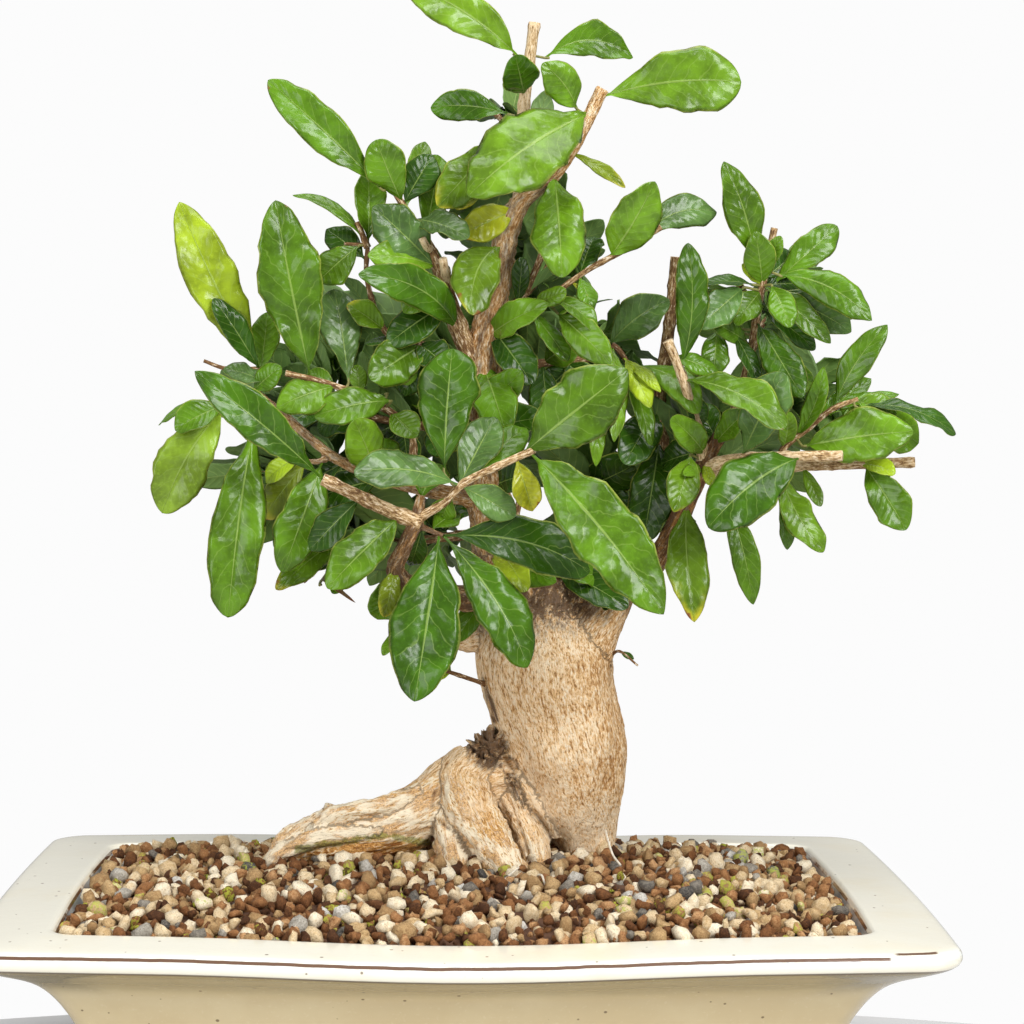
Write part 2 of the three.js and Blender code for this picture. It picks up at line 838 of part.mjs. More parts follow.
function leafGeometry([, on, base, tip, width, tilt, arch]) {
  const end = place(tip);
  const start = petioleStart(on, place(base), end);
  const axis = end.clone().sub(start).normalize();
  const length = end.distanceTo(start);
  const toEye = EYE.clone().sub(start).normalize();
  const facing = toEye.addScaledVector(axis, -toEye.dot(axis)).normalize();
  const skyward = axis.clone().cross(facing);
  if ((Math.abs(skyward.z) > 0.35 ? skyward.z : skyward.x) < 0) {
    skyward.negate();
  }
  const angle = THREE.MathUtils.degToRad(tilt);
  const normal = facing.multiplyScalar(Math.cos(angle)).addScaledVector(skyward, Math.sin(angle));
  const side = axis.clone().cross(normal);
  const halfWidth = (width / 2) * depthScale((base[2] + tip[2]) / 2);
  const rings = LEAF_STATIONS.map((share) => {
    const middle = start
      .clone()
      .addScaledVector(axis, share * length)
      .addScaledVector(normal, arch * length * 4 * share * (1 - share));
    const breadth = Math.max(halfWidth * bladeBreadth(share), PETIOLE_WIDTH / 2);
    const lift = share > PETIOLE_SHARE && share < 1 ? LEAF_FOLD * breadth : 0;
    const corner = (across, over) =>
      middle
        .clone()
        .addScaledVector(side, across * breadth)
        .addScaledVector(normal, Math.abs(across) * lift + (over * LEAF_THICKNESS) / 2);
    return [corner(0, 1), corner(1, 1), corner(1, -1), corner(0, -1), corner(-1, -1), corner(-1, 1)];
  });
  return loft(rings);
}

// ---------------------------------------------------------------- assembly
const glaze = material(COLOUR.glaze, 0.25);
addPiece("pot", toGeometry(potSolid()), glaze);
addPiece("soil", toGeometry(soilSolid(trunkSolid(GAP))), material(COLOUR.soil, 0.95));

for (const [side, name] of [
  [-1, "left"],
  [1, "right"],
]) {
  addPiece(`drain_screen_${name}`, screenGeometry(side * POT.drainOffset), material(COLOUR.screen, 0.6));
  addPiece(`screen_wire_${name}`, wireGeometry(side * POT.drainOffset), material(COLOUR.wire, 0.4, 0.9));
}

addPiece("trunk_and_roots", toGeometry(trunkSolid()), material(COLOUR.trunk, 0.9));

for (const [name, { on, courses }] of Object.entries(LIMBS)) {
  const carriers = on.map((carrier) =>
    carrier === "trunk_and_roots" ? trunkSolid(GAP) : limbJoined(LIMBS[carrier].courses, GAP),
  );
  const solid = mainBody(limbJoined(courses).subtract(joined(carriers)));
  const isCut = name.includes("stub") || name.includes("stick");
  addPiece(name, toGeometry(solid), material(isCut ? COLOUR.cutWood : COLOUR.branch, 0.85));
}

for (const leaf of LEAVES) {
  const [name] = leaf;
  const colour = PALE_LEAVES.includes(name) ? COLOUR.paleLeaf : COLOUR.leaf;
  addPiece(`leaf_${name}`, leafGeometry(leaf), material(colour, 0.35));
}

// The whole is centred over the origin, because the crown reaches past the pot on one side.
const box = new THREE.Box3().setFromObject(tree);
tree.position.set(-(box.min.x + box.max.x) / 2, -(box.min.y + box.max.y) / 2, -box.min.z);

export default tree;
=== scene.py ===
"""Pomegranate bonsai in a cream glazed tray: wood, leaves, soil grains and pot.

The tree is laid out on a front elevation in millimetres: places run across and up on the upright
plane through the pot's middle, and depth slides a place along its line of sight from the drawing's
eye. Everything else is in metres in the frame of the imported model.
"""

from __future__ import annotations

import logging
import math
from dataclasses import dataclass, field
from enum import Enum
from functools import partialmethod
from typing import Any, Iterable, Mapping, Sequence

import bpy
import numpy as np
from mathutils import Matrix, Vector


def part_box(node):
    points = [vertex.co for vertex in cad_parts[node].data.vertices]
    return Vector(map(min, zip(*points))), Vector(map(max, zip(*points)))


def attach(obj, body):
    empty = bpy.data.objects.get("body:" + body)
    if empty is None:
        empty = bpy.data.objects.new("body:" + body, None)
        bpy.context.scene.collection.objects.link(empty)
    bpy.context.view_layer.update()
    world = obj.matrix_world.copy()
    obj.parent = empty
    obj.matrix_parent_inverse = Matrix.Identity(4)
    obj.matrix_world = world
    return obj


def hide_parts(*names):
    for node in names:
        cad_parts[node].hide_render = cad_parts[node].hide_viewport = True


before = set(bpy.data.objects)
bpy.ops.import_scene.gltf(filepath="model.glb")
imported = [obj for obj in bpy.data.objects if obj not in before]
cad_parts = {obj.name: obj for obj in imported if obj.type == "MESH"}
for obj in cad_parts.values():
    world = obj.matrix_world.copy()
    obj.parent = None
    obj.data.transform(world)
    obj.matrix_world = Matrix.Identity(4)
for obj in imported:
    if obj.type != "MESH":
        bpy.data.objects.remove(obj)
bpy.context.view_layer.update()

LOG = logging.getLogger("bonsai")
MM = 0.001
SEED = 41
BODY = "root"
POT_LOW, POT_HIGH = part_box("pot")
MIDDLE = np.array([(POT_LOW.x + POT_HIGH.x) / 2, (POT_LOW.y + POT_HIGH.y) / 2, 0.0])  # on the floor

Colour = tuple[float, float, float]
Line = tuple[tuple[float, float], ...]  # places on the elevation, across and up
Row = tuple[float, float, float, float]  # across, up, depth, radius
Rows = tuple[Row, ...]


# ------------------------------------------------------------------ node graphs
class Wire:
    """An output socket of a node graph, combined with arithmetic signs."""

    def __init__(self, graph: Graph, socket: bpy.types.NodeSocket) -> None:
        """Holds the socket and the graph that it belongs to."""
        self.graph, self.socket = graph, socket

    @property
    def is_vector(self) -> bool:
        """True for a vector or a colour."""
        return self.socket.type in {"VECTOR", "RGBA"}

    def apply(self, operation: str, other: Any = 0.0) -> Wire:
        """An operation of the Math node, such as SINE, ABSOLUTE, FRACT or MAXIMUM."""
        return self.graph.combine(operation, self, other)

    def __rsub__(self, other: Any) -> Wire:
        """Difference from a plain number."""
        return self.graph.combine("SUBTRACT", other, self)

    __add__ = __radd__ = partialmethod(apply, "ADD")
    __sub__ = partialmethod(apply, "SUBTRACT")
    __mul__ = __rmul__ = partialmethod(apply, "MULTIPLY")
    __truediv__ = partialmethod(apply, "DIVIDE")
    __pow__ = partialmethod(apply, "POWER")

    def smooth(self, low: float, high: float, start: float = 0.0, end: float = 1.0) -> Wire:
        """Smooth step from start to end as the value goes from low to high."""
        values = {0: self, 1: low, 2: high, 3: start, 4: end}
        return self.graph.wire("ShaderNodeMapRange", values, interpolation_type="SMOOTHSTEP")

    def part(self, axis: int) -> Wire:
        """One of a vector's three numbers."""
        return self.graph.wire("ShaderNodeSeparateXYZ", {0: self}, axis)


class Graph:
    """A node tree that is written as arithmetic on its sockets."""

    def __init__(self, tree: bpy.types.NodeTree) -> None:
        """Wraps the tree."""
        self.tree = tree

    def feed(self, socket: bpy.types.NodeSocket, value: Any) -> None:
        """Links a wire to a socket, or sets the socket's own value."""
        if isinstance(value, Wire):
            self.tree.links.new(value.socket, socket)
        else:
            socket.default_value = value

    def node(self, kind: str, inputs: Mapping[Any, Any] | None = None, **settings: Any) -> Any:
        """Adds a node.

        Args:
            kind: Blender's name for the node type.
            inputs: values or wires by socket name or number.
            **settings: the node's own properties.

        Returns:
            The new node.
        """
        node = self.tree.nodes.new(kind)
        for name, setting in settings.items():
            setattr(node, name, setting)
        for key, value in (inputs or {}).items():
            self.feed(node.inputs[key], value)
        return node

    def wire(
        self, kind: str, inputs: Mapping[Any, Any] | None = None, output: Any = 0, **settings: Any
    ) -> Wire:
        """Adds a node and returns one of its outputs."""
        return Wire(self, self.node(kind, inputs, **settings).outputs[output])

    def combine(self, operation: str, first: Any, second: Any) -> Wire:
        """Math or Vector Math, whichever the operands need."""
        flags = [isinstance(value, Wire) and value.is_vector for value in (first, second)]
        if not any(flags):
            return self.wire("ShaderNodeMath", {0: first, 1: second}, operation=operation)
        if operation == "MULTIPLY" and not all(flags) and not isinstance(second, tuple):
            vector, number = (first, second) if flags[0] else (second, first)
            values = {0: vector, "Scale": number}
            return self.wire("ShaderNodeVectorMath", values, operation="SCALE")
        return self.wire("ShaderNodeVectorMath", {0: first, 1: second}, operation=operation)

    def vector(self, x: Any = 0.0, y: Any = 0.0, z: Any = 0.0) -> Wire:
        """A vector of three numbers or wires."""
        return self.wire("ShaderNodeCombineXYZ", {0: x, 1: y, 2: z})

    def noise(
        self, place: Wire, scale: float, detail: float = 2.0, rough: float = 0.5, output: str = "Fac"
    ) -> Wire:
        """Noise texture at a place."""
        values = {"Vector": place, "Scale": scale, "Detail": detail, "Roughness": rough}
        return self.wire("ShaderNodeTexNoise", values, output)


class Shader(Graph):
    """Graph of one material, with a Principled surface."""

    def __init__(self, name: str, roughness: float, **sockets: float) -> None:
        """Starts a material.

        Args:
            name: the material's name.
            roughness: of the whole surface.
            **sockets: other values of the Principled shader, with _ for a blank in the name.
        """
        self.material = bpy.data.materials.new(name)
        self.material.use_nodes = True
        super().__init__(self.material.node_tree)
        self.tree.nodes.clear()
        self.surface = self.node("ShaderNodeBsdfPrincipled", {"Roughness": roughness})
        for key, value in sockets.items():
            self.surface.inputs[key.replace("_", " ")].default_value = value
        self.node("ShaderNodeOutputMaterial", {"Surface": Wire(self, self.surface.outputs[0])})
        self.place = self.wire("ShaderNodeTexCoord", output="Object")

    def attribute(self, name: str, output: str = "Fac") -> Wire:
        """A value stored on the mesh."""
        return self.wire("ShaderNodeAttribute", output=output, attribute_name=name)

    def mix(self, share: Any, first: Any, second: Any) -> Wire:
        """Colour between two colours."""
        node = self.node("ShaderNodeMix", {0: share}, data_type="RGBA")
        for socket, value in ((node.inputs[6], first), (node.inputs[7], second)):
            self.feed(socket, value if isinstance(value, Wire) else (*value, 1.0))
        return Wire(self, node.outputs[2])

    def lay(self, colour: Wire, *coats: tuple[Any, Any]) -> Wire:
        """The colour under coats of (share, colour), each laid over what came before."""
        for share, coat in coats:
            colour = self.mix(share, colour, coat)
        return colour

    def ramp(self, value: Wire, stops: Sequence[tuple[float, Colour]]) -> Wire:
        """Colour ramp through stops of (position, colour)."""
        node = self.node("ShaderNodeValToRGB", {0: value})
        elements = node.color_ramp.elements
        while len(elements) < len(stops):
            elements.new(0.5)
        for element, (position, colour) in zip(elements, stops):
            element.position = position
            element.color = (*colour, 1.0)
        return Wire(self, node.outputs[0])

    def stretched(self, x: float, y: float, z: float) -> Wire:
        """Object coordinates with each axis scaled, for grain that runs one way."""
        return self.wire("ShaderNodeMapping", {"Vector": self.place, "Scale": (x, y, z)})

    def finish(
        self, colour: Wire, roughness: Wire | None = None, height: Wire | None = None, depth: float = 0.0
    ) -> bpy.types.Material:
        """Connects the colour, roughness and relief.

        Args:
            colour: base colour.
            roughness: where it changes over the surface.
            height: relief, from 0 to 1.
            depth: real height of the relief, in millimetres.

        Returns:
            The finished material.
        """
        self.feed(self.surface.inputs["Base Color"], colour)
        if roughness is not None:
            self.feed(self.surface.inputs["Roughness"], roughness)
        if height is not None:
            values = {"Height": height, "Distance": depth * MM, "Strength": 1.0}
            self.feed(self.surface.inputs["Normal"], self.wire("ShaderNodeBump", values))
        return self.material


class Recipe(Graph):
    """Geometry Nodes tree with named inputs, run on one object to make a plain mesh."""

    def __init__(self, name: str, **sizes: float | int) -> None:
        """Starts a tree whose inputs are a geometry and the given sizes.

        Args:
            name: the tree's name.
            **sizes: named inputs with the values that they get.
        """
        super().__init__(bpy.data.node_groups.new(name, "GeometryNodeTree"))
        sockets = self.tree.interface
        sockets.new_socket("Geometry", in_out="INPUT", socket_type="NodeSocketGeometry")
        sockets.new_socket("Geometry", in_out="OUTPUT", socket_type="NodeSocketGeometry")
        self.sizes = dict(sizes)
        for key, value in sizes.items():
            kind = "NodeSocketInt" if isinstance(value, int) else "NodeSocketFloat"
            sockets.new_socket(key, in_out="INPUT", socket_type=kind)
        self.entry = self.node("NodeGroupInput")
        self.exit = self.node("NodeGroupOutput")
        self.geometry = Wire(self, self.entry.outputs["Geometry"])

    def size(self, name: str) -> Wire:
        """One of the named inputs."""
        return Wire(self, self.entry.outputs[name])

    def stored(self, name: str, kind: str = "FLOAT") -> Wire:
        """A value stored on the geometry."""
        return self.wire("GeometryNodeInputNamedAttribute", {"Name": name}, data_type=kind)

    def change(self, kind: str, geometry: Wire, **inputs: Any) -> Wire:
        """The geometry after a node of this kind, whose inputs have _ for a blank in the name."""
        values = {0: geometry} | {name.replace("_", " "): value for name, value in inputs.items()}
        return self.wire("GeometryNode" + kind, values)

    def store(
        self, geometry: Wire, name: str, value: Any, kind: str = "FLOAT", domain: str = "POINT"
    ) -> Wire:
        """The geometry with a value stored on it."""
        values = {"Geometry": geometry, "Name": name, "Value": value}
        return self.wire("GeometryNodeStoreNamedAttribute", values, data_type=kind, domain=domain)

    def join(self, parts: Iterable[Wire]) -> Wire:
        """Several geometries as one."""
        node = self.node("GeometryNodeJoinGeometry")
        for part in parts:
            self.tree.links.new(part.socket, node.inputs[0])
        return Wire(self, node.outputs[0])

    def random(self, low: Any, high: Any, seed: Any) -> Wire:
        """A random number, or vector if the limits are vectors, for each point."""
        kind, first, output = ("FLOAT_VECTOR", 0, 0) if isinstance(low, tuple) else ("FLOAT", 2, 1)
        values = {first: low, first + 1: high, "Seed": seed}
        return self.wire("FunctionNodeRandomValue", values, output, data_type=kind)

    def run(self, result: Wire, base: bpy.types.Object, material: bpy.types.Material) -> bpy.types.Mesh:
        """Realizes the result, gives it its material and evaluates it.

        Args:
            result: geometry that the tree ends with.
            base: object that the tree runs on.
            material: for all of its faces.

        Returns:
            A plain mesh.
        """
        smooth = self.change("SetShadeSmooth", self.change("RealizeInstances", result))
        done = self.change("SetMaterial", smooth, Material=material)
        self.tree.links.new(done.socket, self.exit.inputs[0])
        modifier = base.modifiers.new("Recipe", "NODES")
        modifier.node_group = self.tree
        for item in self.tree.interface.items_tree:
            if item.in_out == "INPUT" and item.name in self.sizes:
                modifier[item.identifier] = self.sizes[item.name]
        return evaluated_mesh(base)


# ------------------------------------------------------------------ meshes
def evaluated_mesh(thing: bpy.types.Object) -> bpy.types.Mesh:
    """The object's mesh with its modifiers applied, as new data."""
    bpy.context.view_layer.update()
    graph = bpy.context.evaluated_depsgraph_get()
    final = thing.evaluated_get(graph)
    return bpy.data.meshes.new_from_object(final, preserve_all_data_layers=True, depsgraph=graph)


def add_object(name: str, mesh: bpy.types.Mesh) -> bpy.types.Object:
    """Links a mesh to the scene as an object at the origin."""
    thing = bpy.data.objects.new(name, mesh)
    bpy.context.scene.collection.objects.link(thing)
    return thing


def discard(thing: bpy.types.Object) -> None:
    """Removes a helper object."""
    bpy.data.objects.remove(thing, do_unlink=True)


def store_values(mesh: bpy.types.Mesh, name: str, values: np.ndarray) -> None:
    """Stores a number or a vector for each vertex."""
    kind, key = ("FLOAT", "value") if values.ndim == 1 else ("FLOAT_VECTOR", "vector")
    attribute = mesh.attributes.new(name, kind, "POINT")
    attribute.data.foreach_set(key, values.astype(np.float32).ravel())


def vertex_array(mesh: bpy.types.Mesh, normals: bool = False) -> np.ndarray:
    """The vertices, or their normals, as rows of three numbers."""
    flat = np.zeros(len(mesh.vertices) * 3, np.float32)
    if normals:
        mesh.vertex_normals.foreach_get("vector", flat)
    else:
        mesh.vertices.foreach_get("co", flat)
    return flat.reshape(-1, 3).astype(float)


@dataclass
class Shell:
    """Vertices and faces of a surface in the making, with a material number for each face."""

    points: list[np.ndarray] = field(default_factory=list)
    faces: list[tuple[int, ...]] = field(default_factory=list)
    finishes: list[int] = field(default_factory=list)
    count: int = 0

    def rings(self, rings: np.ndarray, end_finish: int = 0) -> None:
        """Adds a capped surface through rings that run anticlockwise about the way they advance.

        Args:
            rings: array of rings, points and coordinates.
            end_finish: material number of the last cap.
        """
        rows, sides = rings.shape[:2]
        last = self.count + (rows - 1) * sides
        for low in range(self.count, last, sides):
            for k in range(sides):
                n = (k + 1) % sides
                self.faces.append((low + k, low + n, low + sides + n, low + sides + k))
                self.finishes.append(0)
        self.faces.append(tuple(self.count + k for k in reversed(range(sides))))
        self.faces.append(tuple(last + k for k in range(sides)))
        self.finishes += [0, end_finish]
        self.points.append(rings.reshape(-1, 3))
        self.count += rows * sides

    def mesh(self, name: str, *materials: bpy.types.Material) -> bpy.types.Mesh:
        """The surface as smooth-shaded mesh data with these materials."""
        mesh = bpy.data.meshes.new(name)
        mesh.from_pydata(np.concatenate(self.points).tolist(), [], self.faces)
        mesh.polygons.foreach_set("material_index", self.finishes)
        mesh.shade_smooth()
        for material in materials:
            mesh.materials.append(material)
        mesh.update()
        return mesh


def dress(mesh: bpy.types.Mesh, material: bpy.types.Material) -> None:
    """Gives a mesh this material and no other."""
    mesh.materials.clear()
    mesh.materials.append(material)


def circle(count: int, radius: float) -> np.ndarray:
    """Points of a level circle about the origin, anticlockwise."""
    angles = turns(count)
    return np.stack([np.cos(angles), np.sin(angles), np.zeros(count)], 1) * radius


def turns(count: int) -> np.ndarray:
    """Angles of evenly spaced points on a circle."""
    return 2 * math.pi * np.arange(count) / count


def rise(value: Any, start: Any, width: float) -> Any:
    """From 0 up to the start, to 1 at a width beyond it."""
    return np.clip((value - start) / width, 0, 1)


def fall(value: Any, end: Any, width: float) -> Any:
    """From 1 at a width before the end, to 0 from the end on."""
    return np.clip((end - value) / width, 0, 1)


def bump(distance: np.ndarray, half_width: float, power: int = 2) -> np.ndarray:
    """From 1 at no distance, down towards 0 beyond the half-width."""
    return np.exp(-((distance / half_width) ** power))


def spline(before: Any, start: Any, end: Any, after: Any, t: Any) -> Any:
    """Smooth curve from start to end, as t goes from 0 to 1, that also heeds their neighbours."""
    curve = 2 * start + (end - before) * t
    curve = curve + (2 * before - 5 * start + 4 * end - after) * t**2
    return 0.5 * (curve + (3 * start - before - 3 * end + after) * t**3)


def value_noise(points: np.ndarray, seed: int = 0) -> np.ndarray:
    """Smooth noise from -1 to 1 at points whose unit is one cell of the noise.

    The large numbers only mix the bits of a cell's corner into a random value.
    """
    cell = np.floor(points).astype(np.int64)
    part = points - cell
    part = part * part * (3 - 2 * part)
    total = np.zeros(len(points))
    for corner in range(8):
        offset = np.array([corner & 1, corner >> 1 & 1, corner >> 2 & 1])
        x, y, z = (cell + offset).T
        mixed = (x * 73856093) ^ (y * 19349663) ^ (z * 83492791) ^ (seed * 2654435761)
        mixed = (mixed ^ (mixed >> 13)) * 1274126177 & 0xFFFFFFFF
        weight = np.prod(np.where(offset, part, 1 - part), axis=1)
        total += weight * ((mixed >> 8 & 0xFFFF) / 32767.5 - 1)
    return total


def show(piece: bpy.types.Object, slot: str, *nodes: str) -> bpy.types.Object:
    """Attaches a finished piece to the body, hides the nodes that it stands for and logs its faces."""
    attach(piece, BODY)
    if nodes:
        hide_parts(*nodes)
    faces = len(piece.data.polygons)
    LOG.info("%s: %d faces, stands for %s", piece.name, faces, ", ".join(nodes) or "no node")
    return piece


# ------------------------------------------------------------------ elevation
EYE = np.array([-12.5, -1036.8, 283.0])  # of the drawing, from the pot's middle, in millimetres
PITCH, YAW, ROLL = 0.0499, 0.0299, 0.0071  # of the camera at that eye, in radians
FOCAL_LENGTH, SENSOR = 2672.85 / 1024 * 36.0, 36.0  # of the camera, in millimetres


def magnified(depth: Any) -> Any:
    """How much larger a thing at this depth is than its reading."""
    return (depth - EYE[1]) / -EYE[1]


def place(across: Any, up: Any, depth: Any) -> np.ndarray:
    """Elevation readings in millimetres to points of the model's frame in metres."""
    across, up, depth = (np.asarray(value, float) for value in (across, up, depth))
    on_plane = np.stack([across, np.zeros_like(across), up], axis=-1)
    return (EYE + (on_plane - EYE) * magnified(depth)[..., None]) * MM + MIDDLE


def unplace(points: np.ndarray) -> tuple[np.ndarray, np.ndarray, np.ndarray]:
    """Points of the model's frame back to elevation readings: across, up and depth."""
    local = (points - MIDDLE) / MM
    depth = local[:, 1]
    plane = EYE + (local - EYE) / magnified(depth)[:, None]
    return plane[:, 0], plane[:, 2], depth


# ------------------------------------------------------------------ finishes
@dataclass(frozen=True)
class LeafFinish:
    """Glossy leaf: quilted between faint side veins, thin pale rim, yellow and brown with age."""

    vein: Colour = (0.33, 0.46, 0.11)
    rim: Colour = (0.40, 0.46, 0.09)
    yellow: Colour = (0.50, 0.46, 0.025)
    brown: Colour = (0.22, 0.075, 0.02)
    underside: Colour = (0.17, 0.27, 0.085)
    roughness: float = 0.25
    vein_pairs: float = 9.0

    def make(self) -> bpy.types.Material:
        """Builds the material on the leaf's own UV map and attributes."""
        s = Shader("leaf", self.roughness, Specular_IOR_Level=0.32)
        uv = s.wire("ShaderNodeUVMap", uv_map="UVMap")
        along = uv.part(0)
        across = (uv.part(1) * 2.0 - 1.0).apply("ABSOLUTE")
        seed = s.attribute("seed")
        broad = s.noise(s.place + s.vector(seed, seed, 0.0), 75.0, 3.0)
        fine = s.noise(s.place, 520.0, 3.0, 0.6)
        blade = s.attribute("tint", "Color")
        ageing, below = s.attribute("yellowing"), s.attribute("below")
        lean = along * self.vein_pairs - across * 1.7 + broad * 2.2
        wave = (lean.apply("FRACT") - 0.5).apply("ABSOLUTE")
        blade_mask = across.smooth(1.0, 0.6) * along.smooth(0.06, 0.2)
        vein = wave.smooth(0.06, 0.01) * blade_mask
        rib = (across / along.smooth(0.0, 1.0, 0.062, 0.015)).smooth(1.3, 0.5)
        rim = (across + (fine - 0.5) * 0.1).smooth(0.92, 0.985)
        reach = along + across * 0.16 + broad * 0.8 + ageing * 0.95
        freckles = s.noise(s.place + s.vector(0.0, seed, seed), 190.0, 2.0)
        burnt = along * 0.62 + across * 0.1 + freckles * 0.55 + s.attribute("spots") * 0.16
        upper = s.lay(
            s.mix(broad.smooth(0.35, 0.68), blade * 0.62, blade * 1.2),
            (fine.smooth(0.45, 0.7) * 0.3, blade * 1.5),
            (vein * 0.22, self.vein),
            (rib * 0.5, self.vein),
            (rim * (ageing * 0.3 + 0.65), self.rim),
            (reach.smooth(1.72, 2.0), self.yellow),
            (burnt.smooth(1.03, 1.12), self.brown),
        )
        lower = blade * 0.4 + s.vector(*(0.6 * part for part in self.underside))
        lower = s.mix(vein * 0.5 + rib * 0.6, lower, self.vein)
        rough = below * 0.25 + fine * 0.16 + (self.roughness - 0.08)
        bumps = s.noise(s.place + s.vector(0.0, 0.0, seed), 130.0, 2.0)
        quilt = (wave * blade_mask + rib * -0.7) * 0.2
        height = quilt + fine * 0.04 + bumps * 0.5 + broad * 0.8
        return s.finish(s.mix(below, upper, lower), rough, height, 1.2)


@dataclass(frozen=True)
class BarkFinish:
    """Bark with fine cracks and painted highlights along the grain: paler, orange, mossy or dark where it is
    marked.
    """

    name: str
    dark: Colour
    brown: Colour
    tan: Colour
    pale: Colour
    relief: float  # millimetres
    bare_dark: Colour = (0.34, 0.125, 0.025)
    bare: Colour = (0.74, 0.42, 0.125)
    bare_pale: Colour = (0.96, 0.83, 0.61)
    rust_dark: Colour = (0.40, 0.16, 0.03)
    rust: Colour = (0.78, 0.45, 0.15)
    moss_dark: Colour = (0.12, 0.10, 0.015)
    moss: Colour = (0.30, 0.31, 0.04)
    # colour of the dark marks: darker bark, and painted shade in creases and under the leaves
    dark_bark_and_shade: Colour = (0.085, 0.036, 0.014)

    def make(self) -> bpy.types.Material:
        """Builds the material on the attributes grain, pale, root, moss and dark."""
        s = Shader(self.name, 0.8, Specular_IOR_Level=0.25)
        grain = s.attribute("grain", "Vector")
        along_grain = s.wire("ShaderNodeMapping", {"Vector": grain, "Scale": (1.0, 1.0, 0.28)})
        streak = s.noise(along_grain, 1400.0, 3.0, 0.7)
        flake = s.noise(along_grain + s.vector(0.31, 0.17, 0.0), 380.0, 4.0, 0.6)
        rusty = s.noise(along_grain, 260.0, 3.0).smooth(0.44, 0.56) * 0.75
        grit = s.noise(s.place, 1500.0, 3.0, 0.75)
        cloud = s.noise(s.place, 60.0, 3.0)
        film = s.noise(s.place, 240.0, 3.0)
        tone = s.attribute("pale") * 0.6 + (cloud - 0.5) * 0.8 + (flake - 0.5) * 1.7
        tone = tone + (streak - 0.5) * 3.8 + 0.14
        bare = s.ramp(tone, ((0.0, self.bare_dark), (0.46, self.bare), (1.0, self.bare_pale)))
        speckled = grit.smooth(0.4, 0.6)
        mossy = (s.attribute("moss") + (film - 0.5) * 2.2).smooth(0.5, 0.95)
        broken = (grit - 0.5) * 1.6 + (flake - 0.5) * 4.0 + 1.0
        colour = s.lay(
            s.ramp(tone, ((0.0, self.brown), (0.42, self.tan), (0.95, self.pale))),
            (s.attribute("root"), s.mix(rusty, bare, s.mix(speckled, self.rust_dark, self.rust))),
            # painted highlights: near-white flecks along the grain
            (streak.smooth(0.57, 0.63) * 0.55, s.mix(0.6, self.pale, (1.0, 0.95, 0.85))),
            (streak.smooth(0.4, 0.34) * 0.5, self.dark),
            (grit.smooth(0.42, 0.32) * 0.4, self.dark),
            (mossy * 0.75, s.mix(speckled, self.moss_dark, self.moss)),
            # dark marks: partly darker bark, partly painted shade
            ((s.attribute("dark") * broken).smooth(0.12, 0.9) * 0.9, self.dark_bark_and_shade),
        )
        height = streak * 0.7 + flake * 0.6 + grit * 0.3
        return s.finish(colour, grit * 0.2 + 0.68, height, self.relief)


@dataclass(frozen=True)
class CutWoodFinish:
    """Pale sawn end of a stub, with darker grain."""

    pale: Colour = (0.88, 0.74, 0.52)
    brown: Colour = (0.60, 0.41, 0.21)

    def make(self) -> bpy.types.Material:
        """Builds the material on Object coordinates."""
        s = Shader("cut_wood", 0.8, Specular_IOR_Level=0.2)
        grain = s.noise(s.place, 1500.0, 3.0)
        colour = s.mix(grain.smooth(0.4, 0.65), self.brown, self.pale)
        return s.finish(colour, None, grain, 0.15)


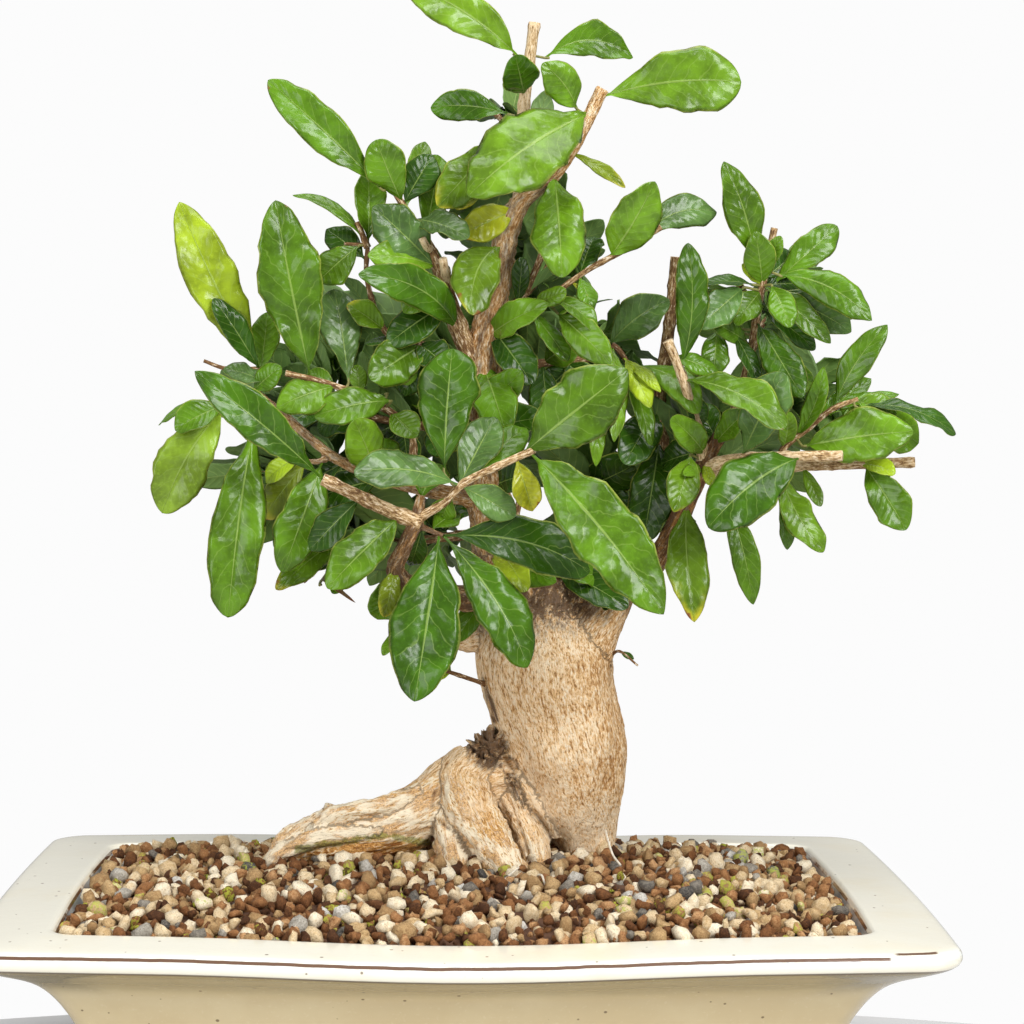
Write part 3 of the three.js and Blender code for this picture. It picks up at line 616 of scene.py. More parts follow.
@dataclass(frozen=True)
class GlazeFinish:
    """Cream glaze over brown clay that shows on the edges; the body below the lip is khaki, its top painted
    with shade.
    """

    cream: Colour = (0.885, 0.85, 0.72)
    stain: Colour = (0.82, 0.72, 0.50)
    body: Colour = (0.64, 0.515, 0.30)
    body_pale: Colour = (0.73, 0.62, 0.39)
    # painted shade for the top of the body, just under the lip
    shaded: Colour = (0.24, 0.19, 0.09)
    clay: Colour = (0.12, 0.055, 0.024)
    frost: Colour = (0.78, 0.84, 0.86)
    slate: Colour = (0.36, 0.39, 0.40)
    speck: Colour = (0.13, 0.075, 0.035)
    # painted shade for the line along the lip's lower edge
    painted_lip_edge_shade: Colour = (0.10, 0.06, 0.035)
    line_height: float = 82.5  # millimetres
    line_end: float = 0.1395  # metres across

    def make(self) -> bpy.types.Material:
        """Builds the material on Object coordinates and the section's own level and inset.

        Level is a height and inset a distance in from the lip's edge, both in millimetres.
        """
        s = Shader("cream_glaze", 0.2, Specular_IOR_Level=0.5, Coat_Weight=0.35, Coat_Roughness=0.1)
        level, inset = s.attribute("level"), s.attribute("inset")
        cloud = s.noise(s.place, 22.0, 4.0, 0.6)
        fine = s.noise(s.place, 650.0, 2.0)
        dots = self.dots(s)
        line, halo = self.break_line(s, level, inset)
        # where the painted shade line runs along the lip's lower edge
        under = (level - 77.2).apply("ABSOLUTE").smooth(0.55, 0.2) * inset.smooth(4.6, 3.6)
        foot = (level + fine * 2.0).smooth(10.4, 9.6)
        wall = inset.smooth(28.7, 29.3) * level.smooth(58.0, 62.0) * level.smooth(85.2, 84.2)
        wall = wall * (s.noise(s.stretched(1.0, 1.0, 0.3), 60.0, 3.0) * 0.8 + 0.5)
        bare = (level - 82.9).apply("ABSOLUTE").smooth(0.8, 0.4) * inset.smooth(28.3, 28.8)
        colour = s.lay(
            s.mix(cloud.smooth(0.42, 0.72) * 0.6, self.body, self.body_pale),
            # painted shade: the body darkens towards the lip above it
            (level.smooth(62.5, 72.5) * 0.95, self.shaded),
            (level.smooth(76.8, 78.0), s.mix(cloud.smooth(0.46, 0.76) * 0.45, self.cream, self.stain)),
            (fine.smooth(0.6, 0.75) * 0.2, self.stain),
            (dots * 0.8, self.speck),
            (halo, self.frost),
            (line, self.clay),
            # painted shade: a dark line where the lip's roll turns under
            (under * 0.85, self.painted_lip_edge_shade),
            (foot, self.clay),
            (wall.smooth(0.3, 0.9), self.slate),
            (bare * cloud.smooth(0.42, 0.5), self.clay),
        )
        rough = (line + foot) * 0.35 + cloud * 0.14 + 0.12
        height = fine * 0.08 + cloud * 0.9 - line * 0.5 - dots * 0.3
        return s.finish(colour, rough, height, 0.25)

    def dots(self, s: Shader) -> Wire:
        """Sparse dark specks of different sizes."""
        cells = {"Vector": s.place, "Scale": 210.0}
        gap = s.wire("ShaderNodeTexVoronoi", cells, "Distance")
        lottery = s.wire("ShaderNodeTexVoronoi", cells, "Color").part(0)
        size = lottery.smooth(0.6, 1.0, 0.03, 0.17)
        return (gap / (size + 0.001)).smooth(1.0, 0.6) * lottery.smooth(0.59, 0.62)

    def break_line(self, s: Shader, level: Wire, inset: Wire) -> tuple[Wire, Wire]:
        """Brown line where the glaze breaks over the lip's edge, and the frosted glaze beside it."""
        wander = s.noise(s.stretched(1.0, 1.0, 0.0), 70.0, 3.0, 0.6)
        apart = (level + (wander - 0.5) * 0.7 - self.line_height).apply("ABSOLUTE")
        outer = inset.smooth(3.4, 2.8)
        across, ahead = s.place.part(0), s.place.part(1)
        front = ahead.smooth(-0.105, -0.112)
        end = self.line_end
        shown = 1.0 - front * across.smooth(end, end + 0.0015)
        line = apart.smooth(0.68, 0.42) * outer * shown
        piece = across.smooth(end + 0.0015, end + 0.004) * across.smooth(end + 0.0185, end + 0.017)
        upper = (inset + (wander - 0.5) * 1.2 - 2.3).apply("ABSOLUTE").smooth(1.0, 0.55)
        line = line.apply("MAXIMUM", upper * piece * front * level.smooth(83.2, 83.7))
        spots = s.noise(s.place, 500.0, 2.0).smooth(0.5, 0.62)
        halo = apart.smooth(1.5, 0.7) * outer * (spots * 0.5 + 0.25)
        return line, halo


class GrainKind(Enum):
    """Kinds of grain in the soil: shares of the lottery, size in millimetres, and shades."""

    FIRED_CLAY = (0.0, 0.62, 4.5, (
        (0.0, (0.065, 0.024, 0.008)), (0.4, (0.20, 0.080, 0.026)), (0.75, (0.35, 0.165, 0.062)),
        (1.0, (0.55, 0.32, 0.15)),
    ))
    PUMICE = (0.62, 0.94, 6.2, (
        (0.0, (0.34, 0.20, 0.085)), (0.3, (0.54, 0.36, 0.17)), (0.65, (0.74, 0.58, 0.36)),
        (1.0, (0.91, 0.81, 0.62)),
    ))
    LAVA = (0.94, 1.0, 6.0, (
        (0.0, (0.06, 0.055, 0.05)), (0.4, (0.24, 0.21, 0.17)), (0.75, (0.45, 0.41, 0.345)),
        (1.0, (0.70, 0.67, 0.61)),
    ))


@dataclass(frozen=True)
class GrainFinish:
    """Matt mineral grain, each of its own shade, some with a green film of algae."""

    kind: GrainKind
    algae: Colour = (0.42, 0.46, 0.045)

    def make(self) -> bpy.types.Material:
        """Builds the material on Object coordinates and the attribute shade."""
        s = Shader(f"grain_{self.kind.name.lower()}", 0.85, Specular_IOR_Level=0.3)
        mottle = s.noise(s.place, 700.0, 4.0, 0.7)
        pits = s.noise(s.place, 1900.0, 3.0, 0.75)
        shade = s.attribute("shade") + (mottle - 0.5) * 0.9 + (pits - 0.5) * 0.7 - 0.03
        film = s.attribute("algae") + (mottle - 0.5) * 2.2
        colour = s.ramp(shade, self.kind.value[-1])
        pitted = (pits.smooth(0.44, 0.34) * 0.6, colour * 0.3)
        colour = s.lay(colour, pitted, (film.smooth(0.85, 1.1) * 0.8, self.algae))
        return s.finish(colour, None, mottle * 0.6 + pits * 0.5, 0.9)


@dataclass(frozen=True)
class PlainFinish:
    """Even finish of a small fitting, with a little grain."""

    name: str
    colour: Colour
    roughness: float
    metallic: float = 0.0
    grain: float = 900.0

    def make(self) -> bpy.types.Material:
        """Builds the material on Object coordinates."""
        s = Shader(self.name, self.roughness, Metallic=self.metallic)
        grain = s.noise(s.place, self.grain, 3.0)
        dull = tuple(0.7 * part for part in self.colour)
        colour = s.mix(grain.smooth(0.3, 0.7), dull, self.colour)
        return s.finish(colour, grain * 0.2 + (self.roughness - 0.1), grain, 0.1)


# ------------------------------------------------------------------ wood
TRUNK: dict[str, Rows] = {
    "bole": (
        (48, 88, 36, 11), (48, 98, 36, 11.5), (46.5, 108, 36, 14.5), (44, 120, 35, 19), (42, 131, 34, 22),
        (39.5, 142, 33, 24.5), (36, 156, 32, 25.3), (33, 168, 30, 26.5), (31, 179, 28, 26.7),
        (30, 189, 26, 23), (30, 197, 25, 16),
    ),
    "stem_shoulder": ((22, 182, 29, 16), (17, 198, 28, 14), (14, 213, 27, 11.5)),
    "saddle": ((33, 186, 25, 18), (40, 197, 24, 13), (46, 204, 24, 8)),
    "limb_shoulder": (
        (42, 177, 26, 18), (49, 188, 23, 13.6), (55, 196, 22, 10.8), (60, 203, 22, 7.4),
        (65.5, 209, 23, 5.4),
    ),
    "dead_stub": ((31, 188, 27, 9), (32, 200, 26, 7.5), (33.5, 210, 25, 5)),
    "left_root": (
        (14, 128, 29, 13), (-2, 122.5, 25, 13.3), (-15, 114.5, 21, 12.5), (-30, 107.5, 18, 12),
        (-45, 105.5, 16, 12.2), (-58, 103, 15, 9.3), (-68, 98, 14, 7), (-76, 91, 13, 4.5),
        (-82, 83, 13, 2.8),
    ),
    "left_root_ridge": ((-12, 122, 18, 5), (-30, 115.5, 12, 5), (-46, 113, 9, 5), (-58, 107, 7, 3.5)),
    "left_root_finger": (
        (-33, 106.5, 9, 4), (-46, 105, 6, 4.2), (-58, 103.5, 5, 4), (-68, 99.5, 6, 3.6), (-77, 92, 8, 2.9),
        (-83, 84, 9, 2.2),
    ),
    "left_root_bump": ((-52, 112, 16, 4), (-51, 117, 15, 2.5)),
    "front_root": (
        (5, 131, 24, 10.5), (-0.5, 125, 19, 10.6), (2.5, 116, 12, 11.2), (9, 104.5, 3, 9.8),
        (16, 94.5, -6, 8.2), (22, 86, -14, 7), (26, 79, -20, 6),
    ),
    "short_root": (
        (18, 120, 21, 5), (23, 110, 15, 6.2), (27, 101, 9, 6.8), (29, 91, 5, 6.6), (29.5, 83, 3, 6),
    ),
    "web": ((15, 137, 28, 5), (20, 130, 26, 6.5), (26, 121, 25, 6.5), (31, 112, 26, 5.5), (35, 103, 28, 5)),
    "lobe": ((-4, 114, 16, 8), (-4.8, 104, 9, 7.8), (-3.6, 96, 4, 7.6), (-2, 87, 1, 7)),
    "knobs": ((19, 127, 17, 3), (21.5, 122, 17, 2.6), (23.5, 118, 16, 2.2)),
    "callus": ((14, 131, 26, 6), (10, 138, 24, 6.5), (8, 142, 23, 3)),
    "back_right_root": ((44, 112, 44, 10), (48, 100, 58, 8), (52, 91, 72, 5), (55, 83, 80, 3)),
    "back_left_root": ((34, 122, 38, 13), (18, 107, 50, 9), (0, 95, 64, 6), (-12, 84, 74, 3.5)),
    "left_nub": ((8, 182, 26, 5), (1, 179.5, 22, 4), (-3, 179, 20, 2)),
}

# Limbs grown together with the trunk. The names are those of the nodes that they stand for.
LIMBS: dict[str, tuple[Rows, ...]] = {
    "main_stem": ((
        (15, 205, 27, 11), (12, 222, 25, 9.4), (9, 240, 22, 8.6), (6, 262, 18, 8), (6, 285, 14, 7.2),
        (8.5, 302, 12, 6.2), (12, 318, 11, 5.2), (14, 330, 10, 4.8), (16.5, 341, 9, 4.3), (21, 351, 8, 4),
        (28, 357, 6, 3.2), (34, 362, 5, 2.9), (41, 372, 3, 2.7), (47, 384, 2, 2.7), (52.5, 395, 1, 2.7),
    ),),
    "right_limb": ((
        (58, 199, 29, 6.4), (66.5, 206, 27, 5.1), (75, 213, 24, 4.6), (82, 225, 20, 4.3),
        (87.5, 238, 16, 3.9), (92.5, 249, 13, 3.6), (97, 258, 12, 2.9), (102, 265.5, 12, 2.4),
    ),),
    "left_limb": (
        (
            (9, 236, 22, 4), (-6, 238, 14, 3.4), (-22, 241.5, 6, 2.9), (-38, 246, 0, 2.4),
            (-52, 253, -3, 2), (-68, 266.5, -3, 1.9), (-82, 277.5, -1, 1.8),
        ),
        ((-80, 276, -1, 1.2), (-79, 282, 1, 1.1), (-79.3, 287, 2, 0.9)),
        (
            (-51, 252, -3, 1.2), (-61, 250.5, -5, 1.1), (-73, 260, -6, 1), (-84, 269, -5, 1),
            (-94, 273, -3, 0.9),
        ),
    ),
    "front_limb": (
        (
            (16, 197, 20, 6), (-4, 198, 0, 4.6), (-20, 201, -14, 4), (-27, 208, -23, 3.8),
            (-23, 218, -27, 3.1), (-18.5, 228, -28, 2.9), (-17, 237.5, -28, 1.7),
        ),
        ((-18, 226, -28, 1.4), (-13, 223.8, -30, 1.25), (-8, 221.8, -32, 1.2)),
    ),
}

# Twigs and stubs, one piece for each node.
TWIGS: dict[str, tuple[Rows, ...]] = {
    "back_limb": (
        ((6, 268, 18, 4), (10, 280, 34, 3.2), (16, 296, 52, 2.5), (20, 314, 68, 1.9), (22, 330, 78, 1.3)),
        ((12, 285, 42, 2), (-10, 294, 60, 1.6), (-36, 300, 74, 1.2)),
        ((18, 300, 58, 1.8), (42, 300, 72, 1.4), (66, 296, 80, 1)),
    ),
    "crown_stub": (((21, 351, 8, 2.6), (20.5, 366, 9, 2.5), (22, 388, 9, 2.3), (25.8, 420, 8, 2.2)),),
    "front_cut_stub": ((
        (-17, 227, -28, 2.9), (-27, 230.5, -29, 2.8), (-40, 236.5, -31, 2.6), (-55, 243.5, -33, 2.4),
    ),),
    "front_twig": ((
        (-17.5, 229, -28, 1.7), (-8, 234.5, -31, 1.5), (0, 242.5, -34, 1.5), (13, 249, -38, 1.5),
        (27, 255.5, -42, 1.5),
    ),),
    "left_cut_twig": ((
        (-19, 241, 7, 1.9), (-20, 251, 5, 1.8), (-21, 262, 3, 1.7), (-31, 271, 0, 1.5),
        (-50, 279.5, -4, 1.3), (-69.5, 284.5, -7, 1.2),
    ),),
    "upper_left_shoot": ((
        (6, 284, 14, 4.2), (-1, 298, 9, 3.8), (-6, 312, 6, 3.2), (-11, 326, 5, 2.5), (-16, 337, 4, 1.8),
        (-23.5, 348, 2, 1.4), (-33.5, 364.5, 0, 1.2),
    ),),
    "long_right_twig": ((
        (9, 302, 12, 1.6), (22, 307.5, 8, 1.4), (33, 315, 5, 1.1), (47, 325, 2, 1.1), (62, 333.5, -1, 1.2),
        (75.5, 342, -3, 1.2),
    ),),
    "right_stick": ((
        (83, 227, 20, 2.6), (80, 242, 30, 2.8), (76.5, 258, 35, 2.8), (75, 271, 36, 2.7),
        (77, 288, 36, 2.5), (79.5, 308, 35, 2.3), (81.5, 330.5, 33, 2.3),
    ),),
    "tan_stub": ((
        (93, 250, 13, 2.2), (91.5, 261, 9, 2.1), (87.5, 274, 5, 2), (84, 285, 2, 1.9), (78.5, 298, -1, 1.9),
    ),),
    "level_stub_upper": ((
        (93, 249, 13, 2.4), (106, 252.4, 4, 2.2), (126, 253.4, -5, 2.1), (147, 253.8, -13, 2.1),
    ),),
    "level_stub_lower": ((
        (91.5, 246.5, 14, 2.6), (108, 248.6, 17, 2.3), (140, 250.2, 15, 2.1), (175.5, 251.5, 12, 2),
    ),),
    "right_shoot": ((
        (97, 258, 12, 1.8), (104, 270, 18, 1.7), (110, 290, 17, 1.6), (113, 308, 13, 1.5),
        (115.5, 322, 11, 1.4), (119.5, 342, 10, 1.4),
    ),),
    "far_right_twig": ((
        (121, 249.4, 16.5, 1.4), (125, 257.5, 12, 1.3), (133, 264, 8, 1.2), (143, 272, 5, 1.1),
        (153, 276, 3, 0.9),
    ),),
}

# Finer twigs that stand for no node of their own.
FINE_TWIGS: dict[str, Rows] = {
    "left_mid": (
        (5, 290, 13, 1.8), (-18, 296, 8, 1.4), (-31, 301, 6, 1.2), (-38, 320, 5, 1), (-38, 334, 5, 0.9),
    ),
    "left_mid_stub": ((-38, 333, 5, 1), (-42, 343, 4, 1.2)),
    "left_mid_side": ((-38, 334, 5, 0.7), (-47, 334.5, 3, 0.6)),
    "red_twig": ((13, 298, 12, 1.5), (22, 314, 10, 1.4), (29.5, 331, 9, 1.3)),
    "dark_twig": ((19, 226, 22, 1.5), (22, 238, 16, 1.1)),
    "dark_stub": ((112, 310, 13, 1.6), (105, 322, 10, 1.3)),
    "mid_right": (
        (8, 284, 14, 1.8), (30, 289, 22, 1.6), (48, 291, 26, 1.4), (57, 296, 28, 1.2), (64, 288, 26, 1),
    ),
    "trunk_twig": ((10, 163.5, 20, 0.9), (-5, 168.5, 4, 0.8), (-9, 169.5, 0, 0.7)),
    "left_tip": ((-79.3, 286, 2, 0.8), (-92, 286, 1, 0.8), (-101, 289, 0, 0.7)),
    "trunk_sprig": ((57, 175, 20, 0.6), (61, 177, 14, 0.5), (68, 171.5, 8, 0.4)),
    "far_crown": ((34, 362, 5, 1.6), (22, 374, 28, 1.3), (10, 386, 42, 1)),
    "far_upper": ((9, 302, 12, 1.8), (30, 324, 38, 1.4), (40, 345, 54, 1)),
    "far_left": ((7, 262, 20, 2.2), (-28, 266, 48, 1.6), (-62, 274, 66, 1.1)),
    "far_low_left": ((12, 224, 28, 2.2), (-18, 220, 48, 1.6), (-44, 220, 62, 1.1)),
    "far_left_side": ((-38, 246, 0, 1.5), (-60, 244, 32, 1.2), (-78, 246, 50, 0.9)),
    "far_right": ((88, 239, 17, 1.9), (100, 252, 44, 1.5), (112, 270, 62, 1)),
    "far_right_high": ((110, 290, 17, 1.3), (116, 306, 36, 1.1), (124, 318, 50, 0.8)),
    "far_low_right": ((76, 214, 25, 1.9), (60, 226, 50, 1.5), (44, 240, 64, 1)),
    "far_right_end": ((140, 250.2, 15, 1.3), (146, 260, 34, 1), (152, 268, 44, 0.8)),
}

# Sawn twig ends that stand for no node of their own, and thin white roots on the soil.
FINE_STUBS: dict[str, Rows] = {
    "shoot_low": ((-7, 318, 7, 1.7), (-8, 324, 2, 1.7), (-9, 329, -1, 1.7)),
    "shoot_high": ((-14, 332, 5, 1.4), (-15.5, 334, 0, 1.4), (-17, 337, -2, 1.4)),
}
ROOTLETS: tuple[Rows, ...] = (
    ((22, 92, -24, 0.5), (17, 87.5, -31, 0.45), (14, 84, -36, 0.4), (11, 82.5, -40, 0.3)),
    ((28, 88, -28, 0.5), (31, 89, -33, 0.45), (33, 84.5, -38, 0.4), (38, 81.5, -42, 0.3)),
    ((62, 93, -20, 0.4), (59, 97, -14, 0.45), (57, 103, -8, 0.4), (56, 107, -2, 0.3)),
)

# How straw-coloured the bark of the cut stubs is.
STRAW = {
    "crown_stub": 1.25, "front_cut_stub": 0.42, "front_twig": 0.6, "tan_stub": 1.0,
    "level_stub_upper": 0.9, "level_stub_lower": 0.75, "right_stick": 0.05,
}

# Creases and other marks of the trunk on the elevation; a crease has its depth and half-width.
CREASES: tuple[tuple[Line, float, float], ...] = (
    (((15.5, 137), (20.5, 129), (24, 120), (27.5, 113.5), (31, 109.5), (36.5, 101), (38, 96)), 2.0, 1.4),
    (((-9, 126), (-11.5, 120), (-12, 112), (-11.5, 104), (-9, 97)), 1.6, 1.3),
    (((-10, 110.5), (-5.5, 107.5), (-1.4, 104), (2, 99), (5, 94)), 1.6, 1.2),
    (((16, 122), (18.5, 117), (21, 110), (23.2, 104), (25.5, 96)), 1.0, 1.1),
    (((-30, 121), (-44, 117), (-58, 110), (-70, 101)), 0.9, 1.0),
    (((-20, 116), (-36, 111), (-52, 107)), 0.8, 1.0),
)
UNDERCUT: Line = ((-74, 94.5), (-64, 99), (-56, 100.5), (-42, 103), (-30, 104), (-12, 101.5))
TRUNK_EDGE: Line = ((8.5, 166), (10.5, 158), (12.5, 150))
ROOT_FINGER: Line = ((-36, 107), (-58, 104), (-68, 100), (-80, 89))
CALLUS = (9.5, 139.0, 8.5)  # across, up and radius
CALLUS_CHAIN: Line = ((19, 127), (23.5, 117))
SCAR = (18.0, 132.0, 3.3)  # across, up and radius


@dataclass(frozen=True)
class Course:
    """Smooth centre line of a limb through its rows."""

    rows: Rows

    def sample(self, step: float) -> tuple[np.ndarray, np.ndarray]:
        """Evenly spaced points on the centre line.

        Args:
            step: spacing in millimetres.

        Returns:
            Rows of (across, up, depth) and the radius at each, in millimetres of the elevation.
        """
        rows = np.array(self.rows, float)
        padded = np.concatenate([2 * rows[:1] - rows[1:2], rows, 2 * rows[-1:] - rows[-2:-1]])
        found = []
        for i in range(len(rows) - 1):
            before, start, end, after = padded[i : i + 4]
            count = max(2, round(float(np.linalg.norm(end[:3] - start[:3])) / step))
            found.append(spline(before, start, end, after, (np.arange(count) / count)[:, None]))
        found.append(rows[-1:])
        course = np.concatenate(found)
        return course[:, :3], np.maximum(course[:, 3], 0.3)

    def nearest(self, across: float, up: float) -> tuple[float, np.ndarray, float]:
        """The nearest place on the elevation: how far it is, where it is, and the radius there."""
        spots, radii = self.sample(2.0)
        gaps = np.hypot(spots[:, 0] - across, spots[:, 1] - up)
        best = int(np.argmin(gaps))
        return float(gaps[best]), spots[best], float(radii[best])


def turned_frames(centres: np.ndarray) -> tuple[np.ndarray, np.ndarray, np.ndarray]:
    """Directions along and across a centre line, turned as little as possible on the way.

    Args:
        centres: points of the centre line.

    Returns:
        The directions along it, and two across it, one row for each point.
    """
    tangents = np.gradient(centres, axis=0)
    tangents /= np.linalg.norm(tangents, axis=1)[:, None]
    first = np.array([0.31, 0.87, 0.38])
    firsts = []
    for tangent in tangents:
        first = first - tangent * (first @ tangent)
        first /= np.linalg.norm(first)
        firsts.append(first)
    return tangents, np.array(firsts), np.cross(tangents, np.array(firsts))


def tube_rings(centres: np.ndarray, radii: np.ndarray, sides: int) -> np.ndarray:
    """Rings of a round tube.

    Args:
        centres: points of the centre line.
        radii: one for each point, or one for each point and side.
        sides: points in a ring.

    Returns:
        Array of rings, points and coordinates.
    """
    _, firsts, seconds = turned_frames(centres)
    angles = turns(sides)[None, :, None]
    spokes = np.cos(angles) * firsts[:, None] + np.sin(angles) * seconds[:, None]
    radii = np.broadcast_to(np.reshape(radii, (len(centres), -1)), (len(centres), sides))
    return centres[:, None] + spokes * radii[:, :, None]


def arc_lengths(centres: np.ndarray) -> np.ndarray:
    """Distance travelled along a line at each of its points."""
    return np.concatenate([[0.0], np.cumsum(np.linalg.norm(np.diff(centres, axis=0), axis=1))])


def distance_to_line(across: np.ndarray, up: np.ndarray, line: Line) -> np.ndarray:
    """How far each place on the elevation is from a line through the given places."""
    spot = np.stack([across, up], axis=1)
    best = np.full(len(spot), np.inf)
    for start, end in zip(line[:-1], line[1:]):
        a, run = np.array(start, float), np.array(end, float) - np.array(start, float)
        share = np.clip((spot - a) @ run / (run @ run), 0, 1)
        best = np.minimum(best, np.linalg.norm(spot - a - share[:, None] * run, axis=1))
    return best


@dataclass
class Wood:
    """Trunk, roots and limbs, grown together, and the twigs and stubs that stand on them."""

    voxel: float = 0.8  # millimetres
    trunk_step: float = 3.0
    trunk_sides: int = 24
    twig_step: float = 1.6
    twig_sides: int = 14
    node_distance: float = 15.0
    bark: bpy.types.Material | None = None
    twig_bark: bpy.types.Material | None = None
    cut_wood: bpy.types.Material | None = None

    def build(self) -> None:
        """Makes every piece of wood."""
        self.bark = BarkFinish(
            "trunk_bark", dark=(0.12, 0.05, 0.016), brown=(0.46, 0.225, 0.07), tan=(0.80, 0.52, 0.255),
            pale=(0.97, 0.77, 0.52), relief=1.5,
        ).make()
        self.twig_bark = BarkFinish(
            "twig_bark", dark=(0.06, 0.03, 0.012), brown=(0.17, 0.085, 0.035), tan=(0.42, 0.26, 0.11),
            pale=(0.76, 0.57, 0.34), relief=0.45,
        ).make()
        self.cut_wood = CutWoodFinish().make()
        self.grown_wood()
        for name, courses in TWIGS.items():
            self.twig_piece(name, courses, STRAW.get(name, 0.25), (name,))
        self.twig_piece("fine_twigs", FINE_TWIGS.values(), -0.2)
        self.twig_piece("fine_stubs", FINE_STUBS.values(), 1.5)
        self.rootlets()

    def grown_wood(self) -> None:
        """Trunk, roots and limbs as one surface, carved and marked."""
        shell = Shell()
        courses = [*TRUNK.values(), *(course for limb in LIMBS.values() for course in limb)]
        for rows in courses:
            spots, radii = Course(rows).sample(self.trunk_step)
            centres = place(*spots.T)
            shell.rings(tube_rings(centres, radii * magnified(spots[:, 2]) * MM, self.trunk_sides))
        rough = add_object("rough_wood", shell.mesh("rough_wood"))
        remesh = rough.modifiers.new("Union", "REMESH")
        remesh.mode = "VOXEL"
        remesh.voxel_size = self.voxel * MM
        soften = rough.modifiers.new("Soften", "SMOOTH")
        soften.factor = 0.5
        soften.iterations = 3
        mesh = evaluated_mesh(rough)
        discard(rough)
        store_values(mesh, "grain", self.grain(vertex_array(mesh), courses))
        self.carve(mesh)
        self.mark(mesh)
        mesh.shade_smooth()
        dress(mesh, self.bark)
        show(add_object("trunk_and_limbs", mesh), "bark", "trunk_and_roots", *LIMBS)

    def grain(self, points: np.ndarray, courses: Sequence[Rows]) -> np.ndarray:
        """Place of each point in the grain of the limb that it belongs to.

        Args:
            points: places in metres.
            courses: rows of every limb.

        Returns:
            For each point, its place across the limb in two directions and along it, in metres.
        """
        nearest = np.full(len(points), np.inf)
        grain = np.zeros_like(points)
        for number, rows in enumerate(courses):
            spots, radii = Course(rows).sample(self.trunk_step)
            centres = place(*spots.T)
            tangents, firsts, seconds = turned_frames(centres)
            squares = (points**2).sum(1)[:, None] + (centres**2).sum(1)[None] - 2 * points @ centres.T
            best = np.argmin(squares, axis=1)
            away = points - centres[best]
            gap = np.linalg.norm(away, axis=1) - (radii * magnified(spots[:, 2]) * MM)[best]
            along = arc_lengths(centres)[best] + (away * tangents[best]).sum(1) + 0.37 * number
            own = np.stack([(away * firsts[best]).sum(1), (away * seconds[best]).sum(1), along], 1)
            closer = gap < nearest
            grain[closer] = own[closer]
            nearest = np.minimum(nearest, gap)
        return grain

    def undercut(self, across: np.ndarray, up: np.ndarray, depth: np.ndarray) -> np.ndarray:
        """How far each place is under the left root, where it is hollowed above the soil."""
        limit = np.interp(across, *np.array(UNDERCUT).T)
        ends = rise(across, -68, 8) * fall(across, -11, 3)
        return fall(up, limit, 2.5) * ends * fall(depth, 24, 6)

    def blemishes(self, across: np.ndarray, up: np.ndarray) -> tuple[np.ndarray, ...]:
        """How far each place belongs to the callus and to its chain, and how far it is off the scar."""
        knot = bump(np.hypot(across - CALLUS[0], up - CALLUS[1]), CALLUS[2], 4)
        chain = bump(distance_to_line(across, up, CALLUS_CHAIN), 3.2, 4)
        return knot, chain, np.hypot(across - SCAR[0], up - SCAR[1])

    def carve(self, mesh: bpy.types.Mesh) -> None:
        """Flutes, lumps, creases, the callus and the scar of the trunk's surface."""
        points, normals = vertex_array(mesh), vertex_array(mesh, True)
        across, up, depth = unplace(points)
        local = points / MM
        thick = fall(up, 222, 12)  # the bole and the roots
        stem = rise(up, 200, 20) * fall(np.abs(across - 10), 14, 4)
        rooty = fall(up, 134, 10) * fall(across, 30, 10)
        front = fall(depth, 34, 6)  # the side that looks forward
        flute = value_noise(local * [0.16, 0.16, 0.03], 3) * (1 - rooty)
        cord = value_noise(local * [0.05, 0.22, 0.30], 5) * rooty
        strand = np.abs(value_noise(local * [0.09, 0.4, 0.55], 6)) * rooty
        lump = value_noise(local * 0.075, 7)
        fine = value_noise(local * [0.55, 0.55, 0.22], 11) + 0.6 * value_noise(local * 1.1, 13)
        rugged = np.abs(value_noise(local * 0.5, 19)) + 0.5 * np.abs(value_noise(local * 1.0, 23))
        knot, chain, scar = self.blemishes(across, up)
        push = thick * (0.75 * flute + 1.1 * cord - 1.1 * strand + 0.9 * lump) + (0.12 + 0.16 * thick) * fine
        push += (1 - thick) * 0.22 * value_noise(local * [0.35, 0.35, 0.2], 17)
        push += stem * (1.3 * np.abs(value_noise(local * [0.5, 0.5, 0.25], 31)) - 0.3)
        for line, deep, half in CREASES:
            push -= deep * bump(distance_to_line(across, up, line), half) * front
        push += 6.5 * (rugged - 0.36) * knot * front
        push += 2.6 * (rugged - 0.3) * chain * front
        push += (1.1 * bump(scar - SCAR[2], 1.0) - 0.8 * bump(scar, 2.0)) * front
        moved = points + normals * push[:, None] * MM
        mesh.vertices.foreach_set("co", moved.astype(np.float32).ravel())
        mesh.update()

